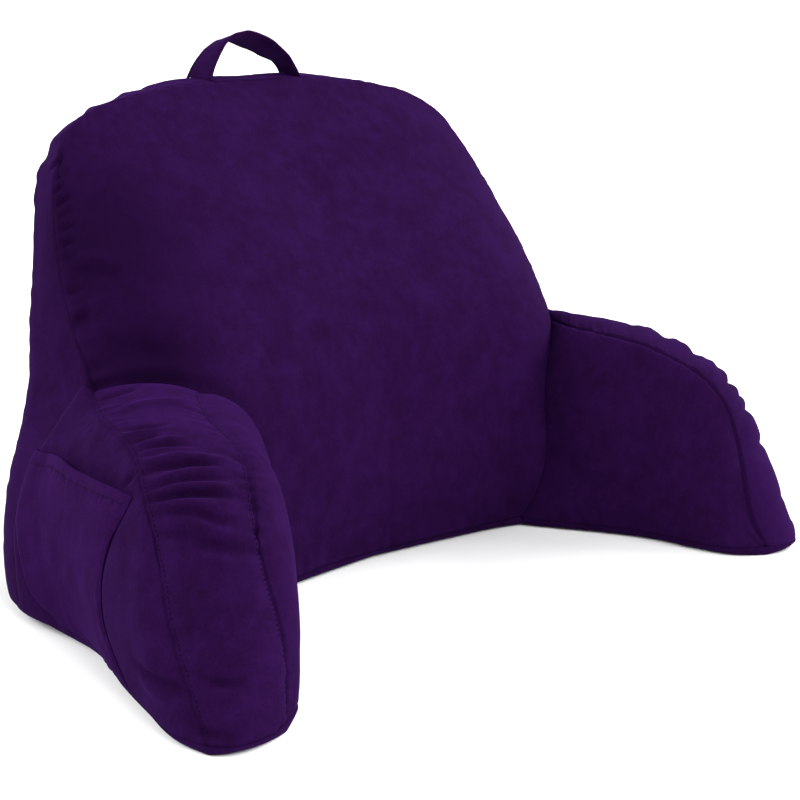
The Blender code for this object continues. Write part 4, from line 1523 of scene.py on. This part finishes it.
@dataclass(frozen=True)
class Studio:
    """White paper floor, soft light from all round, and the camera of the photograph."""

    azimuth: float = -40.97013712630197
    elevation: float = 14.064176002472609
    distance: float = 1.5299266
    target: tuple[float, float, float] = (0.0, -0.02187, 0.170376)
    lens: float = 73.050
    shift: tuple[float, float] = (-0.00334, -0.00296)
    brightness: float = 2.12
    soft_box_width: float = 34.0
    # name, azimuth, elevation and share of the brightness of each soft box
    soft_boxes: tuple[tuple[str, float, float, float], ...] = (
        ("front_light", 0.0, 45.0, 1.10),
        ("right_light", 85.0, 34.0, 1.42),
        ("rear_left_light", -130.0, 35.0, 1.36),
        ("front_right_light", 55.0, 30.0, 1.10),
        ("left_light", -90.0, 45.0, 0.46),
        ("rear_light", 180.0, 35.0, 0.26))

    def floor(self) -> None:
        """Lay the paper floor."""
        edge, squares = 12000.0, 12
        grid = np.linspace(-edge, edge, squares + 1)
        x, y = np.meshgrid(grid, grid, indexing="ij")
        points = np.stack([x, y, np.zeros_like(x)], -1).reshape(-1, 3)
        faces = quads(np.arange(len(points)).reshape(x.shape))
        put("studio_floor", mesh_of("studio_floor", points, faces), StudioPaper().material())

    def light(self, name: str, azimuth: float, elevation: float, strength: float, spread_deg: float) -> None:
        """Set a large, far soft box as an even light with a wide, soft edge.

        Args:
            name: name of the light.
            azimuth: direction it stands in, in degrees from -Y towards +X.
            elevation: its height above the horizon, in degrees.
            strength: its light on a surface that faces it, in watts a square metre.
            spread_deg: how wide the soft box looks from the pillow, in degrees.
        """
        lamp = bpy.data.lights.new(name, "SUN")
        lamp.energy = strength
        lamp.angle = math.radians(spread_deg)
        box = bpy.data.objects.new(name, lamp)
        towards = direction(azimuth, elevation)
        box.location = towards * 3.0
        box.rotation_mode = "QUATERNION"
        box.rotation_quaternion = (-towards).to_track_quat("-Z", "Y")
        bpy.context.scene.collection.objects.link(box)

    def lights(self) -> None:
        """Set the white surroundings, brightest along the horizon, and the soft boxes."""
        world = bpy.data.worlds.new("studio")
        world.use_nodes = True
        tree = world.node_tree
        sky = tree.nodes["Background"]
        height = node(tree, "ShaderNodeSeparateXYZ", {}, {
            "Vector": node(tree, "ShaderNodeTexCoord").outputs["Generated"]})
        glow = node(tree, "ShaderNodeMapRange", {"interpolation_type": "SMOOTHSTEP"}, {
            "Value": height.outputs["Z"], "From Min": 0.10, "From Max": 0.35, "To Min": 1.2, "To Max": 0.3})
        tree.links.new(glow.outputs[0], sky.inputs["Strength"])
        sky.inputs["Color"].default_value = (1.0, 1.0, 1.0, 1.0)
        bpy.context.scene.world = world
        for name, azimuth, elevation, strength in self.soft_boxes:
            self.light(name, azimuth, elevation, strength * self.brightness, self.soft_box_width)

    def camera(self) -> None:
        """Place the camera where the photograph was taken from."""
        lens = bpy.data.cameras.new("camera")
        lens.lens = self.lens
        lens.sensor_width = 36.0
        lens.shift_x, lens.shift_y = self.shift
        lens.clip_start, lens.clip_end = 0.05, 60.0
        camera = bpy.data.objects.new("camera", lens)
        back = direction(self.azimuth, self.elevation)
        camera.location = Vector(self.target) + back * self.distance
        camera.rotation_mode = "QUATERNION"
        camera.rotation_quaternion = (-back).to_track_quat("-Z", "Y")
        bpy.context.scene.collection.objects.link(camera)
        bpy.context.scene.camera = camera
        bpy.context.scene.view_settings.view_transform = "Standard"


def main() -> None:
    """Build the pillow and its studio in order, and log the faces of the cushions and the pocket's cloth
    area.
    """
    logging.basicConfig(level=logging.INFO, format="%(name)s: %(message)s")
    studio = Studio()
    studio.camera()
    studio.floor()
    studio.lights()
    left = PaddedArm(Side.LEFT, 101, hidden_seam=90.0, fold_strength=0.85)
    gathers = ((0.30, 1.5), (0.385, 3.5), (0.47, 4.5), (0.56, 5.0), (0.60, 2.5), (0.655, 4.5), (0.74, 3.5))
    right = PaddedArm(Side.RIGHT, 201, inner_crown=30.0, root_fullness=2.6, crest=0.1,
                      nose_shift=(-8.0, 6.0, 0.0), seam_waves=2.2, fold_strength=0.2, gathers=gathers,
                      root_draw=1.0, painted_nose_highlight=0.3, seam_depth=1.5, hidden_seam=50.0, **RIGHT_ARM_LINES)
    pocket = SlipPocket(left)
    left.folds = left.folds + pocket.sewn_lines()

    cushion = BackCushion()
    back_skin, back_nap_and_shade = cushion.skin([arm.plain().tree() for arm in (left, right)])
    suede = Microsuede("purple_microsuede")
    back_mesh = back_skin.mesh("back_cushion")
    # painted shade in the creases and sewn lines, and darker painted patches on the front
    mark(back_mesh, "packed", back_nap_and_shade)
    mark(back_mesh, "combed", cushion.combed(back_skin.points))
    back = put("back_cushion", back_mesh, suede.material())
    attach(back, "root")
    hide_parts("backrest")
    LOG.info("back_cushion: %d faces", len(back_skin.faces))
    back_tree = back_skin.tree()
    cutter = Cutter(back_skin, ARM_GAP)

    thread = SewingThread("sewing_thread").material()
    arm_trees = {}
    for arm in (left, right):
        skin, packed = arm.skin(back_tree)
        mesh = cutter.cut(skin.mesh(arm.name))
        # painted shade in the creases and sewn lines, and on the right arm a painted highlight down the
        # nose's strip
        mark(mesh, "packed", carried_over(mesh, skin.points, packed))
        mark(mesh, "combed", carried_over(mesh, skin.points, arm.combed(skin)))
        # the arms' away colour is lighter: it is the painted highlight
        cloth = Microsuede(f"{arm.side.name.lower()}_arm_microsuede", away="#2b0f43")
        piece = put(arm.name, mesh, cloth.material())
        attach(piece, "root")
        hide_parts(f"arm_{arm.side.name.lower()}")
        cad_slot(f"arm_{arm.side.name.lower()}")
        arm_trees[arm.side] = skin.tree()
        arm.stitching(skin, mesh, thread)
        LOG.info("%s: %d faces", arm.name, len(skin.faces))

    cloth = Microsuede("pocket_microsuede", brushed="#240a37", ruffled="#1b0628")
    pocket.build(arm_trees[Side.LEFT], cutter, cloth.material(), thread)
    cloth = Microsuede("handle_microsuede", cloud_mm=25.0)
    CarryHandle().build(Cutter(back_skin, HANDLE_GAP), cloth.material(), thread)


if __name__ == "__main__":
    main()
